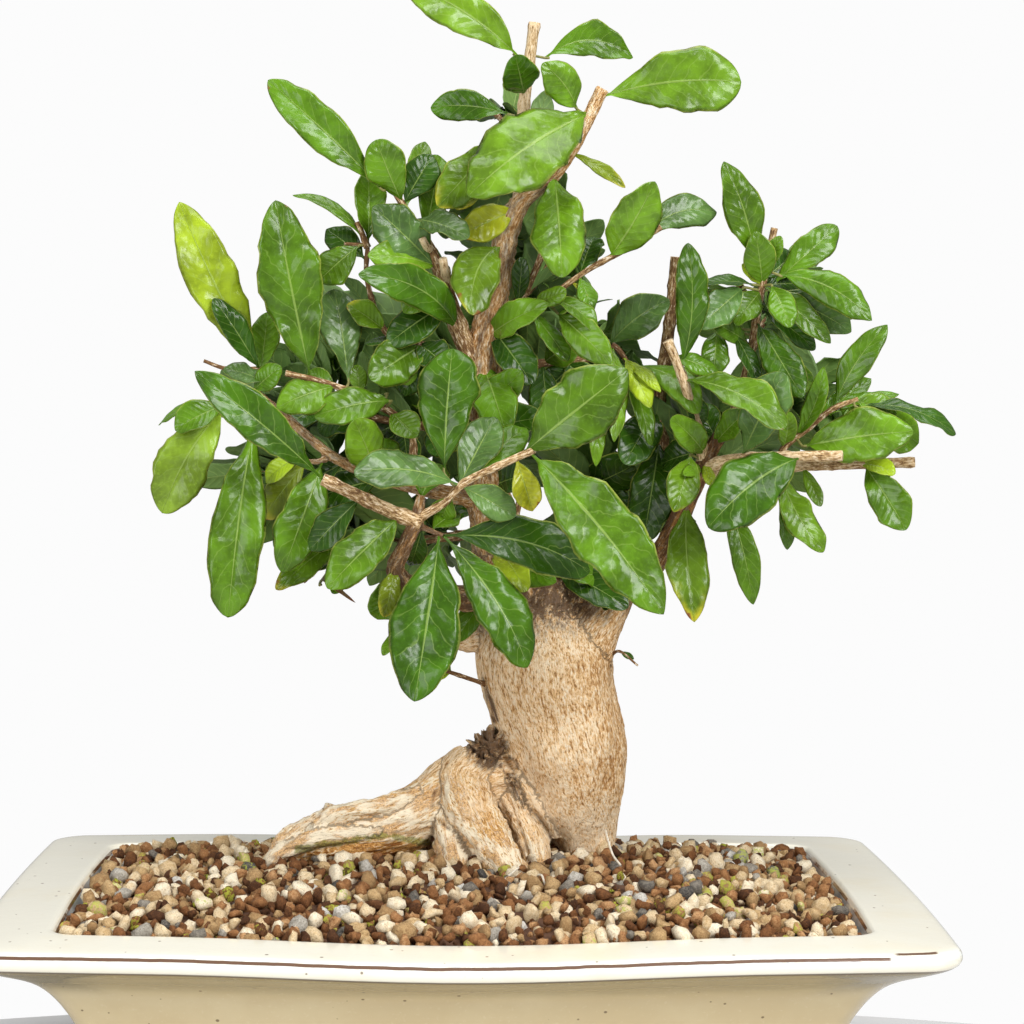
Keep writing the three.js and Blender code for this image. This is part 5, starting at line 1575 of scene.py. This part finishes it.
@dataclass
class Foliage:
    """All the leaves, in clusters, with the stalks that reach from the twigs to them."""

    stations: int = 32
    columns: int = 13
    thickness: float = 0.38
    stalk: float = 0.55
    petiole: float = 0.06
    fullness: float = 1.06
    material: bpy.types.Material | None = None
    stalks: Shell = field(default_factory=Shell)
    dice: np.random.Generator = field(default_factory=lambda: np.random.default_rng(SEED))

    def build(self) -> None:
        """Makes the clusters, the leaves on the far side and the stalks."""
        self.material = LeafFinish().make()
        eye = EYE * MM + MIDDLE
        for name, leaves in CLUSTERS.items():
            points = LeafPoints()
            for leaf in leaves:
                start, hold = self.foothold(leaf)
                end = place(*leaf.tip, leaf.depth)
                seen = max(math.cos(math.radians(leaf.tilt)), 0.8) / self.fullness
                width = leaf.width / seen * magnified((hold[2] + leaf.depth) / 2)
                seed = [SEED, *(round(10 * abs(value)) for value in (*leaf.base, *leaf.tip))]
                points.add(start, end, width, leaf, eye - start, np.random.default_rng(seed))
            self.cluster(f"leaves_{name}", points, LEAF_NODES[name])
        self.far_side()
        green = PlainFinish("leaf_stalk", (0.27, 0.26, 0.07), 0.55).make()
        show(add_object("leaf_stalks", self.stalks.mesh("leaf_stalks", green)), "leaf")

    def foothold(self, leaf: Leaf) -> tuple[np.ndarray, np.ndarray]:
        """Where a leaf starts, with a stalk added if its base is away from the twig.

        Returns:
            The start in metres, and its reading across, up and depth.
        """
        courses = TWIGS.get(leaf.on) or LIMBS.get(leaf.on) or ({**TRUNK, **FINE_TWIGS}[leaf.on],)
        found = (Course(rows).nearest(*leaf.base) for rows in courses)
        gap, spot, radius = min(found, key=lambda near: near[0])
        if gap < radius + 1.5:
            return place(*spot), spot
        base = np.array([*leaf.base, spot[2] + 0.25 * (leaf.depth - spot[2])])
        beyond = base + (np.array([*leaf.tip, leaf.depth]) - base) * 0.05
        route = Course(tuple((*p, self.stalk) for p in (spot, (spot + base) / 2, base, beyond)))
        spots, radii = route.sample(2.5)
        self.stalks.rings(tube_rings(place(*spots.T), radii * MM, 8))
        return place(*base), base

    def cluster(self, name: str, points: LeafPoints, nodes: Sequence[str]) -> None:
        """One piece of leaves, bent to shape by Geometry Nodes from a flat unit blade."""
        base = add_object(name + "_points", points.mesh(name + "_points"))
        tree = Recipe(name, Stations=self.stations, Columns=self.columns, Thickness=self.thickness * MM,
                      StalkRadius=self.stalk * MM, Petiole=self.petiole)
        mesh = tree.run(self.blades(tree), base, self.material)
        discard(base)
        for key in points.rows[0].keys() - {"tint", "yellowing", "spots", "seed"}:
            if key in mesh.attributes:
                mesh.attributes.remove(mesh.attributes[key])
        show(add_object(name, mesh), "leaf", *nodes)

    def blades(self, t: Recipe) -> Wire:
        """The geometry of the leaves: a two-layer unit blade on every point, then its shape."""
        grid = t.wire("GeometryNodeMeshGrid", {
            "Size X": 1.0, "Size Y": 2.0, "Vertices X": t.size("Stations"), "Vertices Y": t.size("Columns"),
        })
        position = t.wire("GeometryNodeInputPosition")
        even = position.part(0) + 0.5
        grid = t.store(grid, "along", even - (even * (2 * math.pi)).apply("SINE") * 0.11)
        grid = t.store(grid, "across", position.part(1))
        upper = t.store(t.store(grid, "layer", 1.0), "below", 0.0, domain="FACE")
        lower = t.store(t.change("FlipFaces", grid), "layer", -1.0)
        blade = t.join([upper, t.store(lower, "below", 1.0, domain="FACE")])
        leaves = t.change("RealizeInstances", t.change("InstanceOnPoints", t.geometry, Instance=blade))
        along, across, layer = (t.stored(key) for key in ("along", "across", "layer"))
        start, axis, side, face = (t.stored(key, "FLOAT_VECTOR") for key in ("start", "axis", "side", "face"))
        length, half, blunt, taper = (t.stored(key) for key in ("length", "half", "blunt", "taper"))
        blade_share = ((along - t.size("Petiole")) / (1.0 - t.size("Petiole"))).apply("MAXIMUM", 0.0)
        widest = taper / (taper + blunt)
        to_tip = (1.0 - blade_share).apply("MAXIMUM", 0.0)
        outline = (blade_share / widest) ** taper * (to_tip / (1.0 - widest)) ** blunt
        stalk = t.size("StalkRadius") * along.smooth(1.0, 0.9)
        steps = along * t.stored("ripples")
        flank = across.apply("SIGN") * 1.7
        seed = t.stored("seed") * 3.1
        notch = t.noise(t.vector(steps, flank, seed), 1.0, 1.0) - 0.5
        wave = t.noise(t.vector(steps * 0.8, flank, seed + 7.7), 1.0, 1.0) - 0.5
        breadth = t.combine("MAXIMUM", half * outline * (notch * 0.46 + 1.0), stalk)
        edge = across.apply("ABSOLUTE")
        middle = along * (1.0 - along) * 4.0
        turn = t.stored("twist") * along
        cosine, sine = turn.apply("COSINE"), turn.apply("SINE")
        side_turned = side * cosine + face * sine
        face_turned = face * cosine - side * sine
        fold = t.stored("fold") * middle.smooth(0.0, 0.5)
        lift = breadth * (edge * fold.apply("SINE") - edge**3.0 * t.stored("cup"))
        lift = lift + wave * t.stored("ruffle") * half * edge * edge * middle.smooth(0.0, 0.6)
        lift = lift + length * t.stored("arch") * middle
        lift = lift - length * t.stored("curl") * (along**3.0 - along)
        thick = (1.0 - edge**6.0) * t.size("Thickness") * (along.smooth(0.12, 0.0) + 0.5)
        thick = thick * (1.0 - (along * 2.0 - 1.0).apply("ABSOLUTE") ** 30.0)
        shape = start + axis * (length * along)
        aside = breadth * across * fold.apply("COSINE") + length * t.stored("bend") * middle
        shape = shape + side_turned * aside + face_turned * (lift + (layer - 1.0) * thick)
        leaves = t.change("SetPosition", leaves, Position=shape)
        leaves = t.change("MergeByDistance", leaves, Distance=0.02 * MM)
        chart = t.vector(along, across * 0.5 + 0.5, 0.0)
        return t.store(leaves, "UVMap", chart, "FLOAT2", "CORNER")

    def screen(self) -> np.ndarray:
        """Cells of the elevation that the front clusters cover, with small gaps closed."""
        across, up = (axis.ravel() for axis in np.mgrid[0:SCREEN_CELLS[0], 0:SCREEN_CELLS[1]] * CELL)
        across, up = across + SCREEN_CORNER[0], up + SCREEN_CORNER[1]
        covered = np.zeros(len(across), bool)
        for leaf in (leaf for leaves in CLUSTERS.values() for leaf in leaves):
            run = np.array(leaf.tip, float) - leaf.base
            reach = float(np.linalg.norm(run))
            along = ((across - leaf.base[0]) * run[0] + (up - leaf.base[1]) * run[1]) / reach**2
            aside = np.abs((across - leaf.base[0]) * run[1] - (up - leaf.base[1]) * run[0]) / reach
            breadth = leaf.width / 2 * np.sin(np.clip(along, 0, 1) * math.pi) ** 0.8
            covered |= (aside < breadth) & (along > 0) & (along < 1)
        grid = covered.reshape(SCREEN_CELLS)
        closed = ~spread(~spread(grid, CLOSING), CLOSING)
        for middle_across, middle_up, radius in OPENINGS:
            gap = np.hypot(across - middle_across, up - middle_up).reshape(SCREEN_CELLS)
            closed &= gap > radius
        return closed

    def covered(self, screen: np.ndarray, start: np.ndarray, tip: np.ndarray, width: float) -> bool:
        """True if the screen covers a far leaf from its start to its tip (across, up and depth)."""
        run = (tip - start)[:2]
        aside = np.array([-run[1], run[0]]) / np.linalg.norm(run)
        shares = [(along, offset) for along in (0.1, 0.35, 0.6, 0.8) for offset in (-0.5, 0.0, 0.5)]
        spots = [start[:2] + run * along + aside * width * offset for along, offset in [*shares, (1.0, 0.0)]]
        cells = ((np.array(spots) - SCREEN_CORNER) / CELL).round().astype(int)
        inside = (cells >= 0).all(axis=1) & (cells < SCREEN_CELLS).all(axis=1)
        return bool(inside.all() and screen[tuple(cells.T)].mean() > 0.95)

    def far_side(self) -> None:
        """Leaves on the twigs of the far side, where those in front cover them."""
        carriers = [rows for name, rows in FINE_TWIGS.items() if name.startswith("far_")]
        points, screen = LeafPoints(), self.screen()
        for rows in (*carriers, *TWIGS["back_limb"]):
            spots, _ = Course(rows).sample(2.5)
            for step in range(len(spots) // 4, len(spots)):
                for _ in range(2):
                    self.far_leaf(points, screen, spots[step], spots[step] - spots[step - 1])
        nodes = [f"leaf_back_{n}" for n in range(1, 4)]
        half = len(points.rows) // 2
        self.cluster("leaves_far_low", LeafPoints(points.rows[:half]), nodes[:1])
        self.cluster("leaves_far_high", LeafPoints(points.rows[half:]), nodes[1:])

    def far_leaf(self, points: LeafPoints, screen: np.ndarray, spot: np.ndarray, run: np.ndarray) -> None:
        """Tries some directions for one leaf of the far side and keeps the first that is covered."""
        tones = (MID, RICH, LIGHT, DEEP, MID, RICH, GREY, MID)
        low, high = DEPTH_OF_FAR_TIPS
        for _ in range(14):
            way = run / np.linalg.norm(run) * 0.6 + self.dice.normal(0, 0.6, 3) + np.array([0, 0, 0.25])
            way /= np.linalg.norm(way)
            length = self.dice.uniform(26, 52)
            tip = spot + way * length
            width = self.dice.uniform(14, 22) * length / 46
            if not low < tip[2] < high or not self.covered(screen, spot, tip, width):
                continue
            tone = tones[self.dice.integers(len(tones))]
            leaf = Leaf("", (0, 0), (0, 0), 0, 0, tone, self.dice.uniform(-20, 60))
            outward = np.array([0.2 * way[0], 1.0, 0.6])
            points.add(place(*spot), place(*tip), width, leaf, outward, self.dice)
            return


# ------------------------------------------------------------------ pot
@dataclass
class Pot:
    """Rectangular tray with a broad level lip, a waisted body, bracket feet and two drain holes.

    Sizes are in millimetres. Rows of outside and inside are inset and height; rows of foot are
    across and ahead of the corner that one foot stands under.
    """

    length: float = 350.0
    width: float = 240.0
    corner_radius: float = 13.0
    long_side_bow: float = 8.0
    short_side_bow: float = 2.5
    lip_sag: float = 2.4
    sag_reach: float = 110.0
    foot_height: float = 8.0
    foot_inset: float = 40.5
    floor_top: float = 16.0
    drain_radius: float = 10.5
    drain_offset: float = 62.0
    wire_radius: float = 0.6
    wire_tail: float = 17.0
    wire_leg: float = 8.4
    wire_bend: float = 1.4
    outside: tuple[tuple[float, float], ...] = (
        (39.5, 8), (39, 16), (38, 32), (36.3, 45), (34, 51), (31.3, 55.8), (28.5, 60), (25.3, 63.8),
        (21.5, 67.1), (17, 69.8), (12.5, 71.9), (8, 73.8), (3.6, 75.9), (1.2, 77.6), (0.2, 79.2),
        (0, 80.6), (0.3, 82.3), (1.8, 83.7), (5, 84.2), (14, 84.6), (25.5, 85), (27.6, 84.7), (28.7, 83.4),
    )
    inside: tuple[tuple[float, float], ...] = (
        (30.5, 80), (34.5, 72), (38, 60), (41, 45), (43, 24), (44, 18.5), (46.5, 16.2), (52, 16),
    )
    foot: tuple[tuple[float, float], ...] = (
        (0, -32), (0, -7), (-2.1, -2.1), (-7, 0), (-40, 0), (-37, -10), (-18, -13), (-13, -18), (-10, -29),
    )

    def ring(self, inset: float, height: float, corner_steps: int = 9, side_steps: int = 22) -> np.ndarray:
        """Rounded rectangle at one height, with the swell of the sides and the sag of the lip."""
        radius = max(self.corner_radius - 0.15 * inset, 3.0)
        half_x, half_y = self.length / 2 - inset, self.width / 2 - inset
        flat_x, flat_y = half_x - radius, half_y - radius
        outline = []
        for turn, (sx, sy) in enumerate(((1, 1), (-1, 1), (-1, -1), (1, -1))):
            angles = (turn + np.linspace(0, 1, corner_steps)) * math.pi / 2
            rounding = radius * np.stack([np.cos(angles), np.sin(angles)], 1)
            corner = [sx * flat_x, sy * flat_y] + rounding
            share = np.linspace(1, -1, side_steps)[1:-1]
            if turn % 2 == 0:
                side = np.stack([sx * flat_x * share, np.full_like(share, sy * half_y)], 1)
            else:
                side = np.stack([np.full_like(share, sx * half_x), sy * flat_y * share], 1)
            outline += [corner, side]
        x, y = np.concatenate(outline).T
        along_x = 1 - (x / half_x) ** 2
        along_y = 1 - (y / half_y) ** 2
        at_side = np.minimum(1, np.abs(y) / half_y) ** 4
        sag = np.cos(np.minimum(1, np.abs(x) / self.sag_reach) * math.pi / 2) ** 2
        lip = rise(height, 60, 18)
        lip = lip * lip * (3 - 2 * lip)
        ring = np.stack([
            x + np.sign(x) * self.short_side_bow * along_y * (np.abs(x) / half_x) ** 4,
            y + np.sign(y) * self.long_side_bow * along_x * at_side,
            height - lip * self.lip_sag * sag * at_side,
        ], 1)
        return ring * MM + MIDDLE

    def profile(self) -> np.ndarray:
        """Smooth section from the foot line over the lip to the floor: rows of inset and height."""
        corners = np.array(self.outside + self.inside, float)
        padded = np.concatenate([corners[:1], corners, corners[-1:]])
        rows = [spline(*padded[i : i + 4], t) for i in range(len(corners) - 1) for t in (0.0, 0.33, 0.67)]
        return np.array([*rows, corners[-1]])

    def build(self) -> None:
        """Makes the pot, and dresses the drain screens and their wires."""
        profile = self.profile()
        shell, rings = Shell(), np.array([self.ring(*row) for row in profile])
        shell.rings(rings)
        glaze = GlazeFinish().make()
        mesh = shell.mesh("pot_body", glaze)
        inset, height = (np.repeat(column, rings.shape[1]) for column in profile.T)
        store_values(mesh, "level", height)
        store_values(mesh, "inset", inset)
        body = add_object("pot_body", mesh)
        tools = [self.drain_plug(side) for side in (-1, 1)]
        feet = [self.foot_block(x, y) for x in (-1, 1) for y in (-1, 1)]
        for tool, operation in zip([*feet, *tools], ["UNION"] * len(feet) + ["DIFFERENCE"] * len(tools)):
            cut = body.modifiers.new(operation, "BOOLEAN")
            cut.operation = operation
            cut.solver = "EXACT"
            cut.object = tool
        made = evaluated_mesh(body)
        for helper in (body, *tools, *feet):
            discard(helper)
        dress(made, glaze)
        made.polygons.foreach_set("material_index", [0] * len(made.polygons))
        made.shade_smooth()
        show(add_object("glazed_pot", made), "glaze", "pot")
        self.fittings()

    def drain_plug(self, side: int) -> bpy.types.Object:
        """Round plug that cuts one drain hole."""
        heights = np.array([-4.0, 2 * self.floor_top]) * MM
        outline = MIDDLE + [side * self.drain_offset * MM, 0.0, 0.0] + circle(40, self.drain_radius) * MM
        shell = Shell()
        shell.rings(np.array([outline + [0, 0, height] for height in heights]))
        return add_object("plug", shell.mesh("plug"))

    def foot_block(self, sign_x: int, sign_y: int) -> bpy.types.Object:
        """Bracket foot under one corner."""
        outline = np.array(self.foot, float) * [sign_x, sign_y]
        if sign_x * sign_y < 0:
            outline = outline[::-1]
        inset = self.foot_inset
        corner = np.array([sign_x * (self.length / 2 - inset), sign_y * (self.width / 2 - inset)])
        centre = outline.mean(axis=0)
        rings = []
        for height, shrink in ((0.0, 0.985), (0.6, 1.0), (self.foot_height + 2.5, 1.0)):
            flat = (outline - centre) * shrink + centre + corner
            rings.append(np.column_stack([flat, np.full(len(flat), height)]) * MM)
        shell = Shell()
        shell.rings(np.array(rings) + MIDDLE)
        return add_object("foot", shell.mesh("foot"))

    def fittings(self) -> None:
        """Dresses the drain screens as they are, and makes the wires round."""
        plastic = PlainFinish("screen_plastic", (0.035, 0.04, 0.035), 0.5).make()
        metal = PlainFinish("screen_wire", (0.62, 0.62, 0.60), 0.35, 1.0).make()
        radius, leg, bend = self.wire_radius, self.wire_leg, self.wire_bend
        for name in ("left", "right"):
            dress(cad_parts[f"drain_screen_{name}"].data, plastic)
            low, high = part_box(f"screen_wire_{name}")
            under, over = low.z / MM + radius, high.z / MM - radius
            half = [(leg - bend, over), (leg, over - bend), (leg, under + bend), (leg + bend, under),
                    (self.wire_tail, under)]
            corners = [(-across, up) for across, up in reversed(half)] + half
            centre = (low + high) / 2
            centres = np.array([[centre.x + across * MM, centre.y, up * MM] for across, up in corners])
            shell = Shell()
            shell.rings(tube_rings(centres, np.full(len(centres), radius * MM), 14))
            wire = add_object(f"holding_wire_{name}", shell.mesh("holding_wire", metal))
            show(wire, "wire", f"screen_wire_{name}")


# ------------------------------------------------------------------ soil
@dataclass
class Soil:
    """Mounded bed with loose grains of three kinds strewn over it; sizes are in millimetres."""

    edge_height: float = 82.0
    mound: float = 10.5
    reach_x: float = 147.0
    reach_y: float = 96.0
    spacing: float = 3.7
    sheet_x: float = 143.5
    sheet_y: float = 94.5
    narrowing: float = 0.925
    side_bow: float = 7.5
    bow_x: float = 142.0
    bow_y: float = 88.0
    knock: float = 4.6

    def height(self, x: np.ndarray, y: np.ndarray) -> np.ndarray:
        """Height of the bed at places measured from the pot's middle."""
        along_x = np.maximum(0, 1 - np.abs(x / self.reach_x) ** 2.6)
        along_y = np.maximum(0, 1 - np.abs(y / self.reach_y) ** 2.2)
        return self.edge_height + self.mound * along_x * along_y

    def build(self) -> None:
        """Dresses the bed and strews the grains."""
        dust = PlainFinish("soil_dust", (0.12, 0.055, 0.028), 0.95, 0.0, 500.0).make()
        dress(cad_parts["soil"].data, dust)
        surface = self.surface()
        for kind in GrainKind:
            self.strew(surface, kind)
        discard(surface)

    def surface(self) -> bpy.types.Object:
        """Open sheet over the bed that the grains lie on."""
        across = np.linspace(-self.sheet_x, self.sheet_x, 90)
        x, y = np.meshgrid(across, np.linspace(-self.sheet_y, self.sheet_y, 60), indexing="ij")
        bow = (1 - (x / self.bow_x) ** 2) * (np.abs(y) / self.bow_y) ** 3
        y = y * self.narrowing * (1 + self.side_bow / self.bow_y * bow)
        points = np.stack([x, y, self.height(x, y)], -1).reshape(-1, 3) * MM + MIDDLE
        rows, columns = x.shape
        corner = (np.arange(rows - 1)[:, None] * columns + np.arange(columns - 1)).ravel()
        faces = np.stack([corner, corner + columns, corner + columns + 1, corner + 1], 1)
        mesh = bpy.data.meshes.new("bed_surface")
        mesh.from_pydata(points.tolist(), [], faces.tolist())
        return add_object("bed_surface", mesh)

    def strew(self, surface: bpy.types.Object, kind: GrainKind) -> None:
        """Grains of one kind: every point of the bed belongs to one of the kinds."""
        name, (low, high, size, _) = kind.name.lower(), kind.value
        tree = Recipe(name, Spacing=self.spacing * MM, Grain=size * MM, Low=low, High=high, Seed=SEED)
        mesh = tree.run(self.grains(tree), surface, GrainFinish(kind).make())
        surface.modifiers.clear()
        show(add_object(f"grains_{name}", mesh), "soil")

    def grains(self, t: Recipe) -> Wire:
        """The geometry of the grains: rounded cubes on the bed, each knocked out of shape."""
        layers = []
        for layer, (spread, sunk) in enumerate(((1.0, -0.6), (1.75, 2.0))):
            values = {
                "Mesh": t.geometry, "Distance Min": t.size("Spacing") * spread, "Density Max": 250000.0,
                "Seed": t.size("Seed") + layer * 7,
            }
            points = t.wire(
                "GeometryNodeDistributePointsOnFaces", values, "Points", distribute_method="POISSON"
            )
            lottery = t.random(0.0, 1.0, t.size("Seed") + 11)
            keep = lottery.apply("GREATER_THAN", t.size("Low")) * lottery.apply("LESS_THAN", t.size("High"))
            points = t.change("DeleteGeometry", points, Selection=1.0 - keep)
            points = t.store(points, "shade", t.random(0.0, 1.0, 3))
            points = t.store(points, "algae", t.random(0.0, 1.0, 17).smooth(0.86, 0.98))
            jitter = t.random((-0.6, -0.6, sunk - 0.9), (0.6, 0.6, sunk + 0.9), 5) * MM
            layers.append(t.change("SetPosition", points, Offset=jitter))
        values = {"Size": (1.0, 1.0, 1.0), "Vertices X": 3, "Vertices Y": 3, "Vertices Z": 3}
        cube = t.wire("GeometryNodeMeshCube", values)
        corner = t.wire("GeometryNodeInputPosition")
        ball = t.wire("ShaderNodeVectorMath", {0: corner}, operation="NORMALIZE")
        cube = t.change("SetPosition", cube, Position=ball * 0.44 + corner * 0.1)
        size = t.random((0.8, 0.7, 0.55), (1.4, 1.05, 0.9), 9) * t.size("Grain") * t.random(0.6, 1.35, 19)
        turn = t.random((0.0, 0.0, 0.0), (6.3, 6.3, 6.3), 13)
        grains = t.change("InstanceOnPoints", t.join(layers), Instance=cube, Rotation=turn, Scale=size)
        knock = t.noise(t.wire("GeometryNodeInputPosition"), 290.0, 1.0, 0.5, "Color") - (0.5, 0.5, 0.5)
        grains = t.change("RealizeInstances", grains)
        return t.change("SetPosition", grains, Offset=knock * (self.knock * MM))


# ------------------------------------------------------------------ studio
# Name, place, size in metres and power in watts of each soft light, and what they look at.
LAMPS = (
    ("key", (1.2, -1.7, 1.4), 1.0, 46.0),
    ("fill", (-1.4, -1.6, 0.62), 1.3, 22.0),
    ("top", (0.2, -0.1, 1.9), 1.2, 23.0),
)
TREE_MIDDLE = Vector((0, 0, 0.22))


@dataclass
class Studio:
    """Pale round table top as the floor, soft lights, white surroundings and the camera."""

    table_radius: float = 0.672
    table_middle: float = -0.509
    table_grey: float = 0.60
    world_light: float = 0.34
    world_seen: float = 0.973

    def build(self) -> None:
        """Sets the stage."""
        self.floor()
        for lamp in LAMPS:
            self.light(*lamp)
        self.backdrop()
        self.camera()
        bpy.context.scene.view_settings.view_transform = "Standard"

    def floor(self) -> None:
        """A round pale table top."""
        points = circle(128, self.table_radius) + MIDDLE + [0.0, self.table_middle, 0.0]
        mesh = bpy.data.meshes.new("floor")
        mesh.from_pydata(points.tolist(), [], [tuple(range(len(points)))])
        s = Shader("pale_floor", 0.9)
        grey = (self.table_grey,) * 3
        mesh.materials.append(s.finish(s.mix(0.0, grey, grey)))
        add_object("floor", mesh)

    def light(self, name: str, spot: tuple[float, float, float], size: float, power: float) -> None:
        """A square soft light that looks at the tree."""
        lamp = bpy.data.lights.new(name, "AREA")
        lamp.size = size
        lamp.energy = power
        thing = bpy.data.objects.new(name, lamp)
        thing.location = spot
        thing.rotation_euler = (TREE_MIDDLE - Vector(spot)).to_track_quat("-Z", "Y").to_euler()
        bpy.context.scene.collection.objects.link(thing)

    def backdrop(self) -> None:
        """Even white surroundings."""
        world = bpy.data.worlds.new("studio")
        world.use_nodes = True
        graph = Graph(world.node_tree)
        seen = graph.wire("ShaderNodeLightPath", output="Is Camera Ray")
        background = world.node_tree.nodes["Background"]
        background.inputs[0].default_value = (1.0, 1.0, 1.0, 1.0)
        graph.feed(background.inputs[1], seen * (self.world_seen - self.world_light) + self.world_light)
        bpy.context.scene.world = world

    def camera(self) -> None:
        """The camera at the elevation's eye."""
        data = bpy.data.cameras.new("camera")
        data.sensor_width = SENSOR
        data.lens = FOCAL_LENGTH
        data.clip_start, data.clip_end = 0.05, 60.0
        right = Vector((math.cos(YAW), -math.sin(YAW), 0.0))
        ahead = Vector((math.sin(YAW) * math.cos(PITCH), math.cos(YAW) * math.cos(PITCH), -math.sin(PITCH)))
        up = right.cross(ahead)
        across = right * math.cos(ROLL) + up * math.sin(ROLL)
        upright = up * math.cos(ROLL) - right * math.sin(ROLL)
        eye = Vector(EYE * MM + MIDDLE)
        thing = bpy.data.objects.new("camera", data)
        turn = Matrix((across, upright, -ahead)).transposed().to_4x4()
        thing.matrix_world = Matrix.Translation(eye) @ turn
        bpy.context.scene.collection.objects.link(thing)
        bpy.context.scene.camera = thing


def main() -> None:
    """Builds the bonsai and the studio."""
    logging.basicConfig(level=logging.INFO, format="%(name)s: %(message)s")
    for part in (Pot(), Soil(), Wood(), Foliage(), Studio()):
        part.build()


if __name__ == "__main__":
    main()
